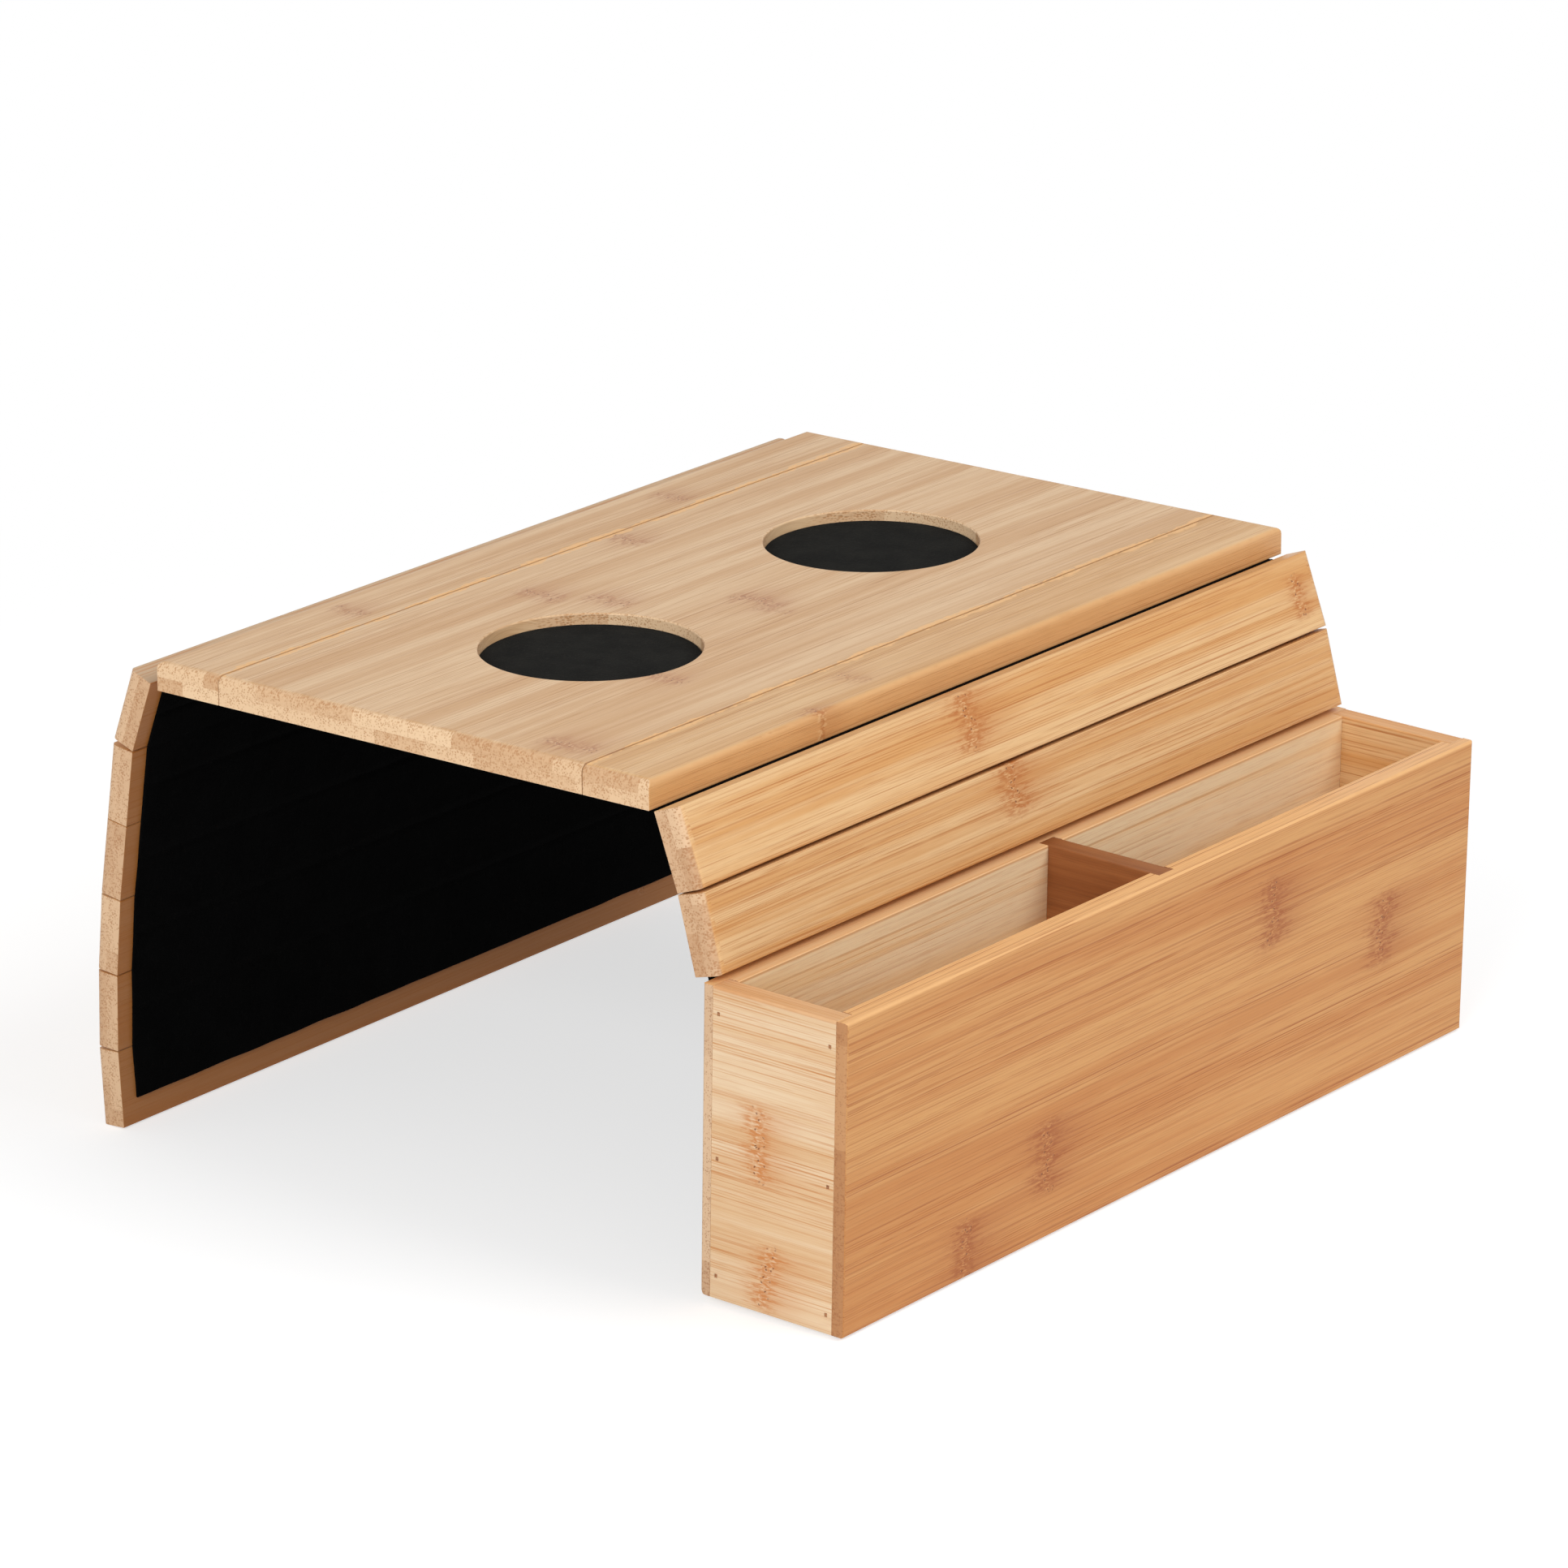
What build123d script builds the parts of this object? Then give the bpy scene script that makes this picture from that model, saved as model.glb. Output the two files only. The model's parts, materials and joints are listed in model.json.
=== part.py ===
from build123d import *
from dataclasses import dataclass
from enum import IntEnum
import os

# A bamboo tray that folds over a sofa arm. A wide centre board with two cup recesses lies on
# the arm. Slats on one sheet of felt hang down both sides of it, six on the left and two on the
# right, where they carry an organizer box with two compartments.
# Frame: the origin is the centre of the felt's free face under the centre board, where the tray
# rests on the arm. +X points to the box, +Y runs along the slats and +Z is up.
# Every piece of the mat is made as it lies when the mat is flat, and is then folded about each
# hinge line before it. The hinge lines lie on the felt's free face.

# Mat
mat_length = 350.0
wood_thickness = 10.0
felt_thickness = 1.0
saw_kerf = 0.3
centre_width = 154.0
slat_width = 27.0
left_slat_count = 6
right_slat_count = 2
end_edge_round = 3.0
long_edge_chamfer = 0.5
seam_chamfer = 0.3
shoulder_edge_round = 1.8

# Felt sheet
felt_end_inset = 7.0
felt_lower_inset = 9.0
felt_hinge_clearance = 0.2
felt_glue_thickness = 0.05

# Cup recesses, each lined with a disc of felt
cup_diameter = 75.0
cup_depth = 5.7
cup_spacing = 153.0
cup_rim_chamfer = 0.4
cup_felt_thickness = 2.0
cup_felt_clearance = 0.3

# Hinge lines: how far each lies beyond the wood before it. The felt is free of the wood for
# a little past both shoulders, and for the top of the box, so it turns further out there.
left_shoulder_felt_free = 3.0
right_shoulder_felt_free = 1.35
box_felt_free = 17.0
box_gap = 0.3

# Folds as the tray hangs on the arm, in degrees from flat, from the centre board outwards
left_fold_angles = (0.0, 70.0, 11.5, 0.0, 3.0, 3.5, 5.0)
right_fold_angles = (0.0, 70.4, 5.2)
box_fold_angle = 15.9

# Organizer box
box_height = 106.0
box_depth = 57.0
box_length = 354.0
box_board = 8.0
box_lip = 4.0
box_corner_round = 1.2
box_rim_round = 1.0
box_inner_chamfer = 0.5
box_foot_round = 3.5
divider_thickness = 8.0
divider_housing = 4.0
bottom_thickness = 5.0
bottom_groove = 4.0
bottom_lift = 9.0
glue_clearance = 0.1

# Brads that hold the box sides, three to a row, driven by hand. The middle one of each row lies
# at its share of the way down from the highest to the lowest.
brad_width = 1.25
brad_thickness = 1.0
brad_length = 20.0
brad_sink = 0.1
brad_edge_distance = 6.4
brad_rim_distance = 9.0
back_brad_foot_distance = 7.9
front_brad_foot_distance = 6.5
back_middle_brad_share = 0.55
front_middle_brad_share = 0.52
brad_clearance = 0.05

# Overrun of the cutting solids past the faces that they open
cut_overrun = 1.0

quarter_turn = 90

felt_length = mat_length - 2 * felt_end_inset
wood_underside = felt_thickness + felt_glue_thickness
wood_top = wood_underside + wood_thickness
inner_bottom = bottom_lift + bottom_thickness


class Side(IntEnum):
    """The two sides of the tray, as the sign of X there."""

    LEFT = -1
    RIGHT = 1


class End(IntEnum):
    """The two ends of the slats and of the box, as the sign of Y there."""

    NEAR = -1
    FAR = 1


@dataclass(frozen=True)
class Hinge:
    """A line across the mat, on the felt's free face, about which all beyond it folds."""

    flat_place: float
    fold: float


def folded(side, hinges):
    """Give the place that takes a piece from the flat mat to where it hangs."""
    place = Location()
    for hinge in hinges:
        line = side * hinge.flat_place
        place = place * Pos(line, 0, 0) * Rot(0, side * hinge.fold, 0) * Pos(-line, 0, 0)
    return place


def slab(side, inner, outer, low, high, length):
    """Make a plain block of the flat mat between two distances from its middle."""
    block = Box(outer - inner, length, high - low, align=(Align.CENTER, Align.CENTER, Align.MIN))
    return Pos(side * (inner + outer) / 2, 0, low) * block


def long_upper_edges(wood, side):
    """Give the two upper long edges of a board, the one nearer the middle of the tray first."""
    edges = wood.edges().filter_by(Axis.Y).group_by(Axis.Z)[-1].sort_by(Axis.X)
    return (edges[0], edges[-1]) if side == Side.RIGHT else (edges[-1], edges[0])


def board(side, inner, outer, inner_chamfer):
    """Make a board with rounded upper ends, and its inner upper long edge eased."""
    wood = slab(side, inner, outer, wood_underside, wood_top, mat_length)
    upper_ends = wood.edges().filter_by(Axis.X).group_by(Axis.Z)[-1]
    wood = fillet(upper_ends, end_edge_round)
    return chamfer(long_upper_edges(wood, side)[0], inner_chamfer)


def make_edge_slat(side, inner, outer):
    """Make the slat that lies flat beside the centre board and has the rounded shoulder."""
    wood = board(side, inner, outer, seam_chamfer)
    return fillet(long_upper_edges(wood, side)[-1], shoulder_edge_round)


def make_hanging_slat(side, inner, outer):
    """Make one hanging slat, both of its upper long edges eased."""
    wood = board(side, inner, outer, long_edge_chamfer)
    return chamfer(long_upper_edges(wood, side)[-1], long_edge_chamfer)


def felt(side, inner, outer):
    """Make one stretch of the felt sheet."""
    return slab(side, inner, outer, 0, felt_thickness, felt_length)


def cup_place(end):
    """Give how far along the slats the centre of one recess lies."""
    return end * cup_spacing / 2


def make_centre_board():
    """Make the board that lies on the arm, with its two round recesses."""
    wood = board(Side.RIGHT, -centre_width / 2, centre_width / 2, seam_chamfer)
    wood = chamfer(long_upper_edges(wood, Side.RIGHT)[-1], seam_chamfer)
    pocket_floor = wood_top - cup_depth
    for end in End:
        pocket = Cylinder(cup_diameter / 2, cup_depth + cut_overrun,
                          align=(Align.CENTER, Align.CENTER, Align.MIN))
        wood -= Pos(0, cup_place(end), pocket_floor) * pocket
    circles = wood.edges().filter_by(GeomType.CIRCLE)
    rims = circles.filter_by_position(Axis.Z, wood_top, wood_top).filter_by(
        lambda edge: edge.radius == cup_diameter / 2)
    return chamfer(rims, cup_rim_chamfer)


def make_cup_felt(end):
    """Make the felt disc that lies loose on the floor of one recess."""
    disc = Cylinder(cup_diameter / 2 - cup_felt_clearance, cup_felt_thickness,
                    align=(Align.CENTER, Align.CENTER, Align.MIN))
    return Pos(0, cup_place(end), wood_top - cup_depth) * disc


def make_centre_felt():
    """Make the felt under the centre board, the face that the tray rests on."""
    half = centre_width / 2 + saw_kerf / 2 - felt_hinge_clearance
    return slab(Side.RIGHT, -half, half, 0, felt_thickness, felt_length)


def mat_side(side, count, shoulder_felt_free, fold_angles, after_last):
    """Make the edge slat and the hanging slats of one side, with the felt on each of them.

    after_last is how far the felt goes on past the last slat, less than nothing where it stops
    short of the slat's edge. Gives the pieces, the hinges and where the last slat ends.
    """
    pieces = {}
    hinges = []
    felt_free = [saw_kerf / 2, shoulder_felt_free] + [saw_kerf / 2] * count
    name = side.name.lower()
    inner = centre_width / 2 + saw_kerf
    for number in range(count + 1):
        outer = inner + slat_width
        before = inner - saw_kerf
        hinges.append(Hinge(before + felt_free[number], fold_angles[number]))
        felt_from = hinges[number].flat_place + felt_hinge_clearance
        if number < count:
            felt_to = outer + felt_free[number + 1] - felt_hinge_clearance
        else:
            felt_to = outer + after_last
        hung = folded(side, hinges)
        if number == 0:
            pieces[f"{name}_edge_slat"] = hung * make_edge_slat(side, inner, outer)
            pieces[f"{name}_edge_felt"] = hung * felt(side, felt_from, felt_to)
        else:
            pieces[f"{name}_slat_{number}"] = hung * make_hanging_slat(side, inner, outer)
            pieces[f"{name}_felt_{number}"] = hung * felt(side, felt_from, felt_to)
        inner = outer + saw_kerf
    return pieces, hinges, outer


def brad_heights(foot_distance, middle_share):
    """Give how high the three brads of one row lie above the foot of the box."""
    highest = box_height - brad_rim_distance
    middle = highest - middle_share * (highest - foot_distance)
    return (highest, middle, foot_distance)


def brads_and_slots():
    """Make the brads where they lie in the upright box, and the slots that they cut."""
    brads = {end: [] for end in End}
    slots = []
    rows = {
        brad_edge_distance: brad_heights(back_brad_foot_distance, back_middle_brad_share),
        box_depth - brad_edge_distance: brad_heights(front_brad_foot_distance,
                                                     front_middle_brad_share),
    }
    for end in End:
        centre = end * (box_length / 2 - brad_sink - brad_length / 2)
        for x, heights in rows.items():
            for height in heights:
                place = Pos(x, centre, height)
                brads[end].append(place * Box(brad_thickness, brad_length, brad_width))
                slots.append(place * Box(brad_thickness + 2 * brad_clearance,
                                         brad_length + 2 * brad_sink + 2 * brad_clearance,
                                         brad_width + 2 * brad_clearance))
    return brads, slots


def box_block(x_from, x_to, y_from, y_to, z_from, z_to):
    """Make a block of the upright box between its lowest and highest faces."""
    block = Box(x_to - x_from, y_to - y_from, z_to - z_from, align=(Align.MIN, Align.MIN, Align.MIN))
    return Pos(x_from, y_from, z_from) * block


def make_long_board(is_back, slots):
    """Make the front or back of the box: rebated ends, a housing for the divider, a groove."""
    near_end = -box_length / 2
    far_end = box_length / 2
    outer_face = 0 if is_back else box_depth
    inward = 1 if is_back else -1
    inner_face = outer_face + inward * box_board
    x_from, x_to = sorted((outer_face, inner_face))
    wood = box_block(x_from, x_to, near_end, far_end, 0, box_height)
    corners = wood.edges().filter_by(Axis.Z).sort_by(Axis.X)
    wood = fillet(corners[:2] if is_back else corners[-2:], box_corner_round)
    rim = wood.edges().filter_by(Axis.Y).group_by(Axis.Z)[-1].sort_by(Axis.X)
    wood = fillet(rim[0] if is_back else rim[-1], box_rim_round)
    rim = wood.edges().filter_by(Axis.Y).group_by(Axis.Z)[-1].sort_by(Axis.X)
    wood = chamfer(rim[-1] if is_back else rim[0], box_inner_chamfer)
    if is_back:
        foot = wood.edges().filter_by(Axis.Y).group_by(Axis.Z)[0].sort_by(Axis.X)
        wood = fillet(foot[0], box_foot_round)

    def inner_cut(depth, y_from, y_to, z_from, z_to):
        x_low, x_high = sorted((inner_face - inward * depth, inner_face + inward * cut_overrun))
        return box_block(x_low, x_high, y_from, y_to, z_from, z_to)

    side_seat = box_board + glue_clearance
    rebate = box_board - box_lip
    top = box_height + cut_overrun
    wood -= inner_cut(rebate, near_end - cut_overrun, near_end + side_seat, -cut_overrun, top)
    wood -= inner_cut(rebate, far_end - side_seat, far_end + cut_overrun, -cut_overrun, top)
    half_divider = divider_thickness / 2 + glue_clearance
    wood -= inner_cut(divider_housing, -half_divider, half_divider, inner_bottom, top)
    wood -= inner_cut(bottom_groove, near_end - cut_overrun, far_end + cut_overrun,
                      bottom_lift, inner_bottom)
    for slot in slots:
        wood -= slot
    return wood


def make_side_board(end, slots):
    """Make one end of the box, held between the lips of the long boards."""
    outer_face = end * box_length / 2
    inner_face = outer_face - end * box_board
    y_from, y_to = sorted((outer_face, inner_face))
    seat = box_lip + glue_clearance
    wood = box_block(seat, box_depth - seat, y_from, y_to, 0, box_height)
    rim = wood.edges().filter_by(Axis.X).group_by(Axis.Z)[-1].sort_by(Axis.Y)
    wood = fillet(rim[0] if end == End.NEAR else rim[-1], box_rim_round)
    rim = wood.edges().filter_by(Axis.X).group_by(Axis.Z)[-1].sort_by(Axis.Y)
    wood = chamfer(rim[-1] if end == End.NEAR else rim[0], box_inner_chamfer)
    groove_from, groove_to = sorted((inner_face + end * bottom_groove,
                                     inner_face - end * cut_overrun))
    wood -= box_block(-cut_overrun, box_depth + cut_overrun, groove_from, groove_to,
                      bottom_lift, inner_bottom)
    for slot in slots:
        wood -= slot
    return wood


def make_divider():
    """Make the board that parts the two compartments, housed in both long boards."""
    end = box_board - divider_housing + glue_clearance
    half = divider_thickness / 2
    wood = box_block(end, box_depth - end, -half, half, inner_bottom + glue_clearance, box_height)
    rim = wood.edges().filter_by(Axis.X).group_by(Axis.Z)[-1]
    return chamfer(rim, box_inner_chamfer)


def make_bottom():
    """Make the panel that lies in the groove round the foot of the box."""
    edge = box_board - bottom_groove + glue_clearance
    half_length = box_length / 2 - edge
    return box_block(edge, box_depth - edge, -half_length, half_length,
                     bottom_lift + glue_clearance / 2, inner_bottom - glue_clearance / 2)


def make_box():
    """Make every piece of the organizer box as it stands upright, its back at x of zero."""
    brads, slots = brads_and_slots()
    return {
        "box_back_board": make_long_board(True, slots),
        "box_front_board": make_long_board(False, slots),
        "box_near_side": make_side_board(End.NEAR, slots),
        "box_far_side": make_side_board(End.FAR, slots),
        "box_divider": make_divider(),
        "box_bottom": make_bottom(),
        "box_near_brads": brads[End.NEAR],
        "box_far_brads": brads[End.FAR],
    }


def print_hinge_lines(side, hinges):
    """Print where each hinge line lies as the tray hangs on the arm."""
    for number, hinge in enumerate(hinges):
        line = folded(side, hinges[:number]) * Pos(side * hinge.flat_place, 0, 0)
        spot = line.position
        name = side.name.lower()
        print(f"{name} hinge {number}: x {spot.X:.3f} z {spot.Z:.3f} fold {hinge.fold}")


def build():
    """Make all the pieces where they lie as the tray hangs on the arm."""
    pieces = {"centre_board": make_centre_board(), "centre_felt": make_centre_felt()}
    for end in End:
        pieces[f"cup_felt_{end.name.lower()}"] = make_cup_felt(end)

    left_pieces, left_hinges, _ = mat_side(
        Side.LEFT, left_slat_count, left_shoulder_felt_free, left_fold_angles, -felt_lower_inset)
    pieces.update(left_pieces)
    print_hinge_lines(Side.LEFT, left_hinges)

    right_pieces, right_hinges, right_end = mat_side(
        Side.RIGHT, right_slat_count, right_shoulder_felt_free, right_fold_angles,
        box_felt_free - felt_hinge_clearance)
    pieces.update(right_pieces)

    box_hinge = Hinge(right_end + box_felt_free, box_fold_angle)
    right_hinges.append(box_hinge)
    print_hinge_lines(Side.RIGHT, right_hinges)
    hung = folded(Side.RIGHT, right_hinges)
    box_foot = right_end + box_gap + box_height
    pieces["box_felt"] = hung * felt(Side.RIGHT, box_hinge.flat_place + felt_hinge_clearance,
                                     box_foot - felt_lower_inset)
    laid_down = hung * Pos(box_foot, 0, wood_underside) * Rot(0, -quarter_turn, 0)
    for name, piece in make_box().items():
        if isinstance(piece, list):
            pieces[name] = Compound(children=[laid_down * brad for brad in piece])
        else:
            pieces[name] = laid_down * piece
    return pieces


os.makedirs("parts", exist_ok=True)
for node, shape in build().items():
    export_step(shape, f"parts/{node}.step")
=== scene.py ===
"""The looks of a bamboo tray that folds over a sofa arm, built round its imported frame."""

import json
import logging
import math
from dataclasses import dataclass, field, replace
from enum import IntEnum

import bmesh
import bpy
import numpy as np
from mathutils import Matrix, Vector, noise


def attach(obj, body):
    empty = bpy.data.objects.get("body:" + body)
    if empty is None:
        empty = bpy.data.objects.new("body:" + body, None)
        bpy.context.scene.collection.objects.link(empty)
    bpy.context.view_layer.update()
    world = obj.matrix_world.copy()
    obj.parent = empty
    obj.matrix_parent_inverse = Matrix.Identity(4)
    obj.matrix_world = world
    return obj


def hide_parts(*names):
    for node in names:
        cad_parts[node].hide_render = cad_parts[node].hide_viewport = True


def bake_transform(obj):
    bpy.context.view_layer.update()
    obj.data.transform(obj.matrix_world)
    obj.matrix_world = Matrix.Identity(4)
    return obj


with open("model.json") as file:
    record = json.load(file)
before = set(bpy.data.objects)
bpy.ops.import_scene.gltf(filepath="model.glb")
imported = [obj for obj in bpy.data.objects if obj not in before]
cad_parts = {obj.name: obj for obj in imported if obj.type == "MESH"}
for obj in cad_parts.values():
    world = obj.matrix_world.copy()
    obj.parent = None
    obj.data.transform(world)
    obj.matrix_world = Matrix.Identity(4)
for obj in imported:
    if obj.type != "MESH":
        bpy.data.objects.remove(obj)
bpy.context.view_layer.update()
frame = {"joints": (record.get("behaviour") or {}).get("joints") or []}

LOG = logging.getLogger("sofa_arm_tray")
MILLIMETRE = 0.001
PLACE_ATTRIBUTE = "board_place"

# Two places nearer than this are one, and a line without a bend turns over the second, in metres.
SAME_PLACE = 1e-6
SHARP_BEND = 1e-7

# The sockets of the script's own groups that carry something other than a number.
SOCKET_KINDS = {"Place": "Vector", "Columns": "Int", "Rows": "Int", "Material": "Material",
                "Points": "Geometry", "Geometry": "Geometry"}

# The corners of each face of a block, whose corners are numbered with X changing slowest.
BLOCK_FACES = ((0, 1, 3, 2), (4, 6, 7, 5), (0, 4, 5, 1), (2, 3, 7, 6), (0, 2, 6, 4), (1, 5, 7, 3))

# A colour is red, green and blue as a screen shows them, from 0 to 255.
Colour = tuple[int, int, int]

# What goes into a socket: a number, a colour, a material, a socket or a Value.
Feed = object


class Side(IntEnum):
    """The two sides of the tray, as the sign of X there."""

    LEFT = -1
    RIGHT = 1


class End(IntEnum):
    """The two ends of the slats and of the box, as the sign of Y there."""

    NEAR = -1
    FAR = 1


def linear_share(value: int) -> float:
    """Turn a colour channel as a screen shows it into the linear share that a shader takes."""
    share = value / 255
    return share / 12.92 if share <= 0.04045 else ((share + 0.055) / 1.055) ** 2.4


class Value:
    """A node's output, on which the signs of arithmetic add Math nodes."""

    def __init__(self, wiring: "Wiring", socket: bpy.types.NodeSocket) -> None:
        """Hold the output and what adds nodes to its tree."""
        self.wiring = wiring
        self.socket = socket

    def math(self, operation: str, *others: Feed) -> "Value":
        """Work out an operation of this value and up to two others."""
        node = self.wiring.add("ShaderNodeMath", dict(enumerate((self, *others))),
                               operation=operation)
        return Value(self.wiring, node.outputs[0])

    def __add__(self, other: Feed) -> "Value":
        """Add another value."""
        return self.math("ADD", other)

    def __sub__(self, other: Feed) -> "Value":
        """Take another value away."""
        return self.math("SUBTRACT", other)

    def __rsub__(self, other: float) -> "Value":
        """Take this value away from a number."""
        node = self.wiring.add("ShaderNodeMath", {0: other, 1: self}, operation="SUBTRACT")
        return Value(self.wiring, node.outputs[0])

    def __mul__(self, other: Feed) -> "Value":
        """Multiply by another value."""
        return self.math("MULTIPLY", other)

    def __truediv__(self, other: Feed) -> "Value":
        """Divide by another value."""
        return self.math("DIVIDE", other)

    def __abs__(self) -> "Value":
        """Drop the sign."""
        return self.math("ABSOLUTE")

    def scaled(self, factor: Feed, offset: Feed) -> "Value":
        """Multiply, then add."""
        return self.math("MULTIPLY_ADD", factor, offset)

    def between(self, low: Feed, high: Feed) -> "Value":
        """Go straight from low at 0 to high at 1."""
        return self.scaled(high - low, low)

    def smooth(self, low: Feed, high: Feed) -> "Value":
        """Rise smoothly from 0 at low to 1 at high."""
        return self.wiring.value("ShaderNodeMapRange",
                                 {"Value": self, "From Min": low, "From Max": high},
                                 "Result", interpolation_type="SMOOTHSTEP")

    def fall(self, low: Feed, high: Feed) -> "Value":
        """Fall smoothly from 1 at low to 0 at high."""
        return 1.0 - self.smooth(low, high)


class Wiring:
    """Adds nodes to one tree and joins their sockets."""

    def __init__(self, tree: bpy.types.NodeTree) -> None:
        """Start on a tree that may already hold nodes."""
        self.tree = tree

    def feed(self, node: bpy.types.Node, feeds: dict) -> None:
        """Link a node's inputs to what feeds them, or set the values that they hold.

        Args:
            node: The node.
            feeds: What goes into its inputs, by name or number.
        """
        for key, value in feeds.items():
            socket = node.inputs[key]
            if isinstance(value, (Value, bpy.types.NodeSocket)):
                self.tree.links.new(getattr(value, "socket", value), socket)
            elif socket.type == "RGBA":
                socket.default_value = (*map(linear_share, value), 1.0)
            else:
                socket.default_value = value

    def add(self, kind: str, feeds: dict | None = None, **settings: object) -> bpy.types.Node:
        """Add one node.

        Args:
            kind: The node's type name.
            feeds: What goes into its inputs, by name or number.
            settings: Its own properties.

        Returns:
            The new node.
        """
        node = self.tree.nodes.new(kind)
        for name, value in settings.items():
            setattr(node, name, value)
        self.feed(node, feeds or {})
        return node

    def value(self, kind: str, feeds: dict | None = None, output: int | str = 0,
              **settings: object) -> Value:
        """Add one node and give one of its outputs."""
        return Value(self, self.add(kind, feeds, **settings).outputs[output])

    def combine(self, x: Feed, y: Feed, z: Feed) -> Value:
        """Join three numbers into a vector."""
        return self.value("ShaderNodeCombineXYZ", {"X": x, "Y": y, "Z": z})

    def split(self, vector: Feed) -> list[Value]:
        """Give the three numbers of a vector."""
        node = self.add("ShaderNodeSeparateXYZ", {"Vector": vector})
        return [Value(self, socket) for socket in node.outputs]

    def noise(self, place: Feed, scale: float = 1.0, detail: float = 2.0,
              roughness: float = 0.5) -> Value:
        """Give smooth noise between 0 and 1 at a vector, or at three numbers."""
        vector = self.combine(*place) if isinstance(place, tuple) else place
        return self.value("ShaderNodeTexNoise", {"Vector": vector, "Scale": scale,
                                                 "Detail": detail, "Roughness": roughness})

    def cells(self, vector: Feed, scale: float, randomness: float,
              dimensions: str = "3D") -> dict[str, Value]:
        """Scatter cells and give the distance and the random colour of the nearest one."""
        feeds = {"Vector": vector, "Scale": scale, "Randomness": randomness}
        node = self.add("ShaderNodeTexVoronoi", feeds, voronoi_dimensions=dimensions)
        return {label: Value(self, node.outputs[label]) for label in ("Distance", "Color")}

    def mix(self, share: Feed, first: Feed, second: Feed) -> Value:
        """Mix two colours, 0 giving the first."""
        return self.value("ShaderNodeMix", {0: share, 6: first, 7: second}, 2, data_type="RGBA")

    def bump(self, height: Feed, strength: float, distance: float) -> Value:
        """Give the normal of a surface with a height."""
        return self.value("ShaderNodeBump", {"Strength": strength, "Distance": distance,
                                             "Height": height})

    def group(self, tree: bpy.types.NodeTree, feeds: dict) -> dict[str, Value]:
        """Place a node group of the same kind as this tree and give its outputs."""
        kind = "ShaderNodeGroup" if tree.type == "SHADER" else "GeometryNodeGroup"
        node = self.add(kind, node_tree=tree)
        self.feed(node, feeds)
        return {socket.name: Value(self, socket) for socket in node.outputs}

    def close(self, feeds: dict) -> bpy.types.NodeTree:
        """Feed a group's outputs and give its finished tree."""
        self.feed(self.tree.nodes["Group Output"], feeds)
        return self.tree

    def close_mesh(self, geometry: Feed, material: Feed) -> bpy.types.NodeTree:
        """End a geometry tree in real geometry with its material."""
        real = self.value("GeometryNodeRealizeInstances", {0: geometry})
        return self.close({"Geometry": self.value(
            "GeometryNodeSetMaterial", {"Geometry": real, "Material": material})})


def new_group(name: str, kind: str, inputs: tuple[str, ...],
              outputs: tuple[str, ...]) -> tuple[Wiring, dict[str, Value]]:
    """Start a node group with named sockets.

    Args:
        name: The group's name.
        kind: "Shader" or "Geometry".
        inputs: The names of its inputs.
        outputs: The names of its outputs.

    Returns:
        Its wiring, and the values of its inputs.
    """
    tree = bpy.data.node_groups.new(name, f"{kind}NodeTree")
    for way, labels in (("INPUT", inputs), ("OUTPUT", outputs)):
        for label in labels:
            socket = f"NodeSocket{SOCKET_KINDS.get(label, 'Float')}"
            tree.interface.new_socket(name=label, in_out=way, socket_type=socket)
    wiring = Wiring(tree)
    entry = wiring.add("NodeGroupInput")
    wiring.add("NodeGroupOutput")
    return wiring, {label: Value(wiring, entry.outputs[label]) for label in inputs}


def new_material(name: str) -> tuple[bpy.types.Material, Wiring, bpy.types.Node]:
    """Start a material and give it, its wiring and its shader."""
    material = bpy.data.materials.new(name)
    material.use_nodes = True
    return material, Wiring(material.node_tree), material.node_tree.nodes["Principled BSDF"]


@dataclass(frozen=True)
class Knuckle:
    """A node of the bamboo cane, which shows as a ragged band across the fibres.

    Places are in millimetres: along the fibres from the middle of the board, and across it from
    its first edge.
    """

    along: float
    across: float
    reach_along: float = 6.0
    reach_across: float = 14.0
    strength: float = 1.0


@dataclass(frozen=True)
class BambooFinish:
    """Pressed bamboo under a thin matt lacquer. Its lengths are in millimetres."""

    pale: Colour
    warm: Colour
    line: Colour
    knuckle: Colour
    end_light: Colour
    end_dark: Colour
    line_strength: float = 0.6
    fine_strength: float = 0.35
    dash_strength: float = 0.2
    band_centre: float = 0.5
    band_half_width: float = 0.16
    underside_shade: float = 0.0
    strip_width: float = 21.0
    strip_contrast: float = 0.10
    layer_thickness: float = 5.0
    roughness: float = 0.5
    bump: float = 0.35


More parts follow.
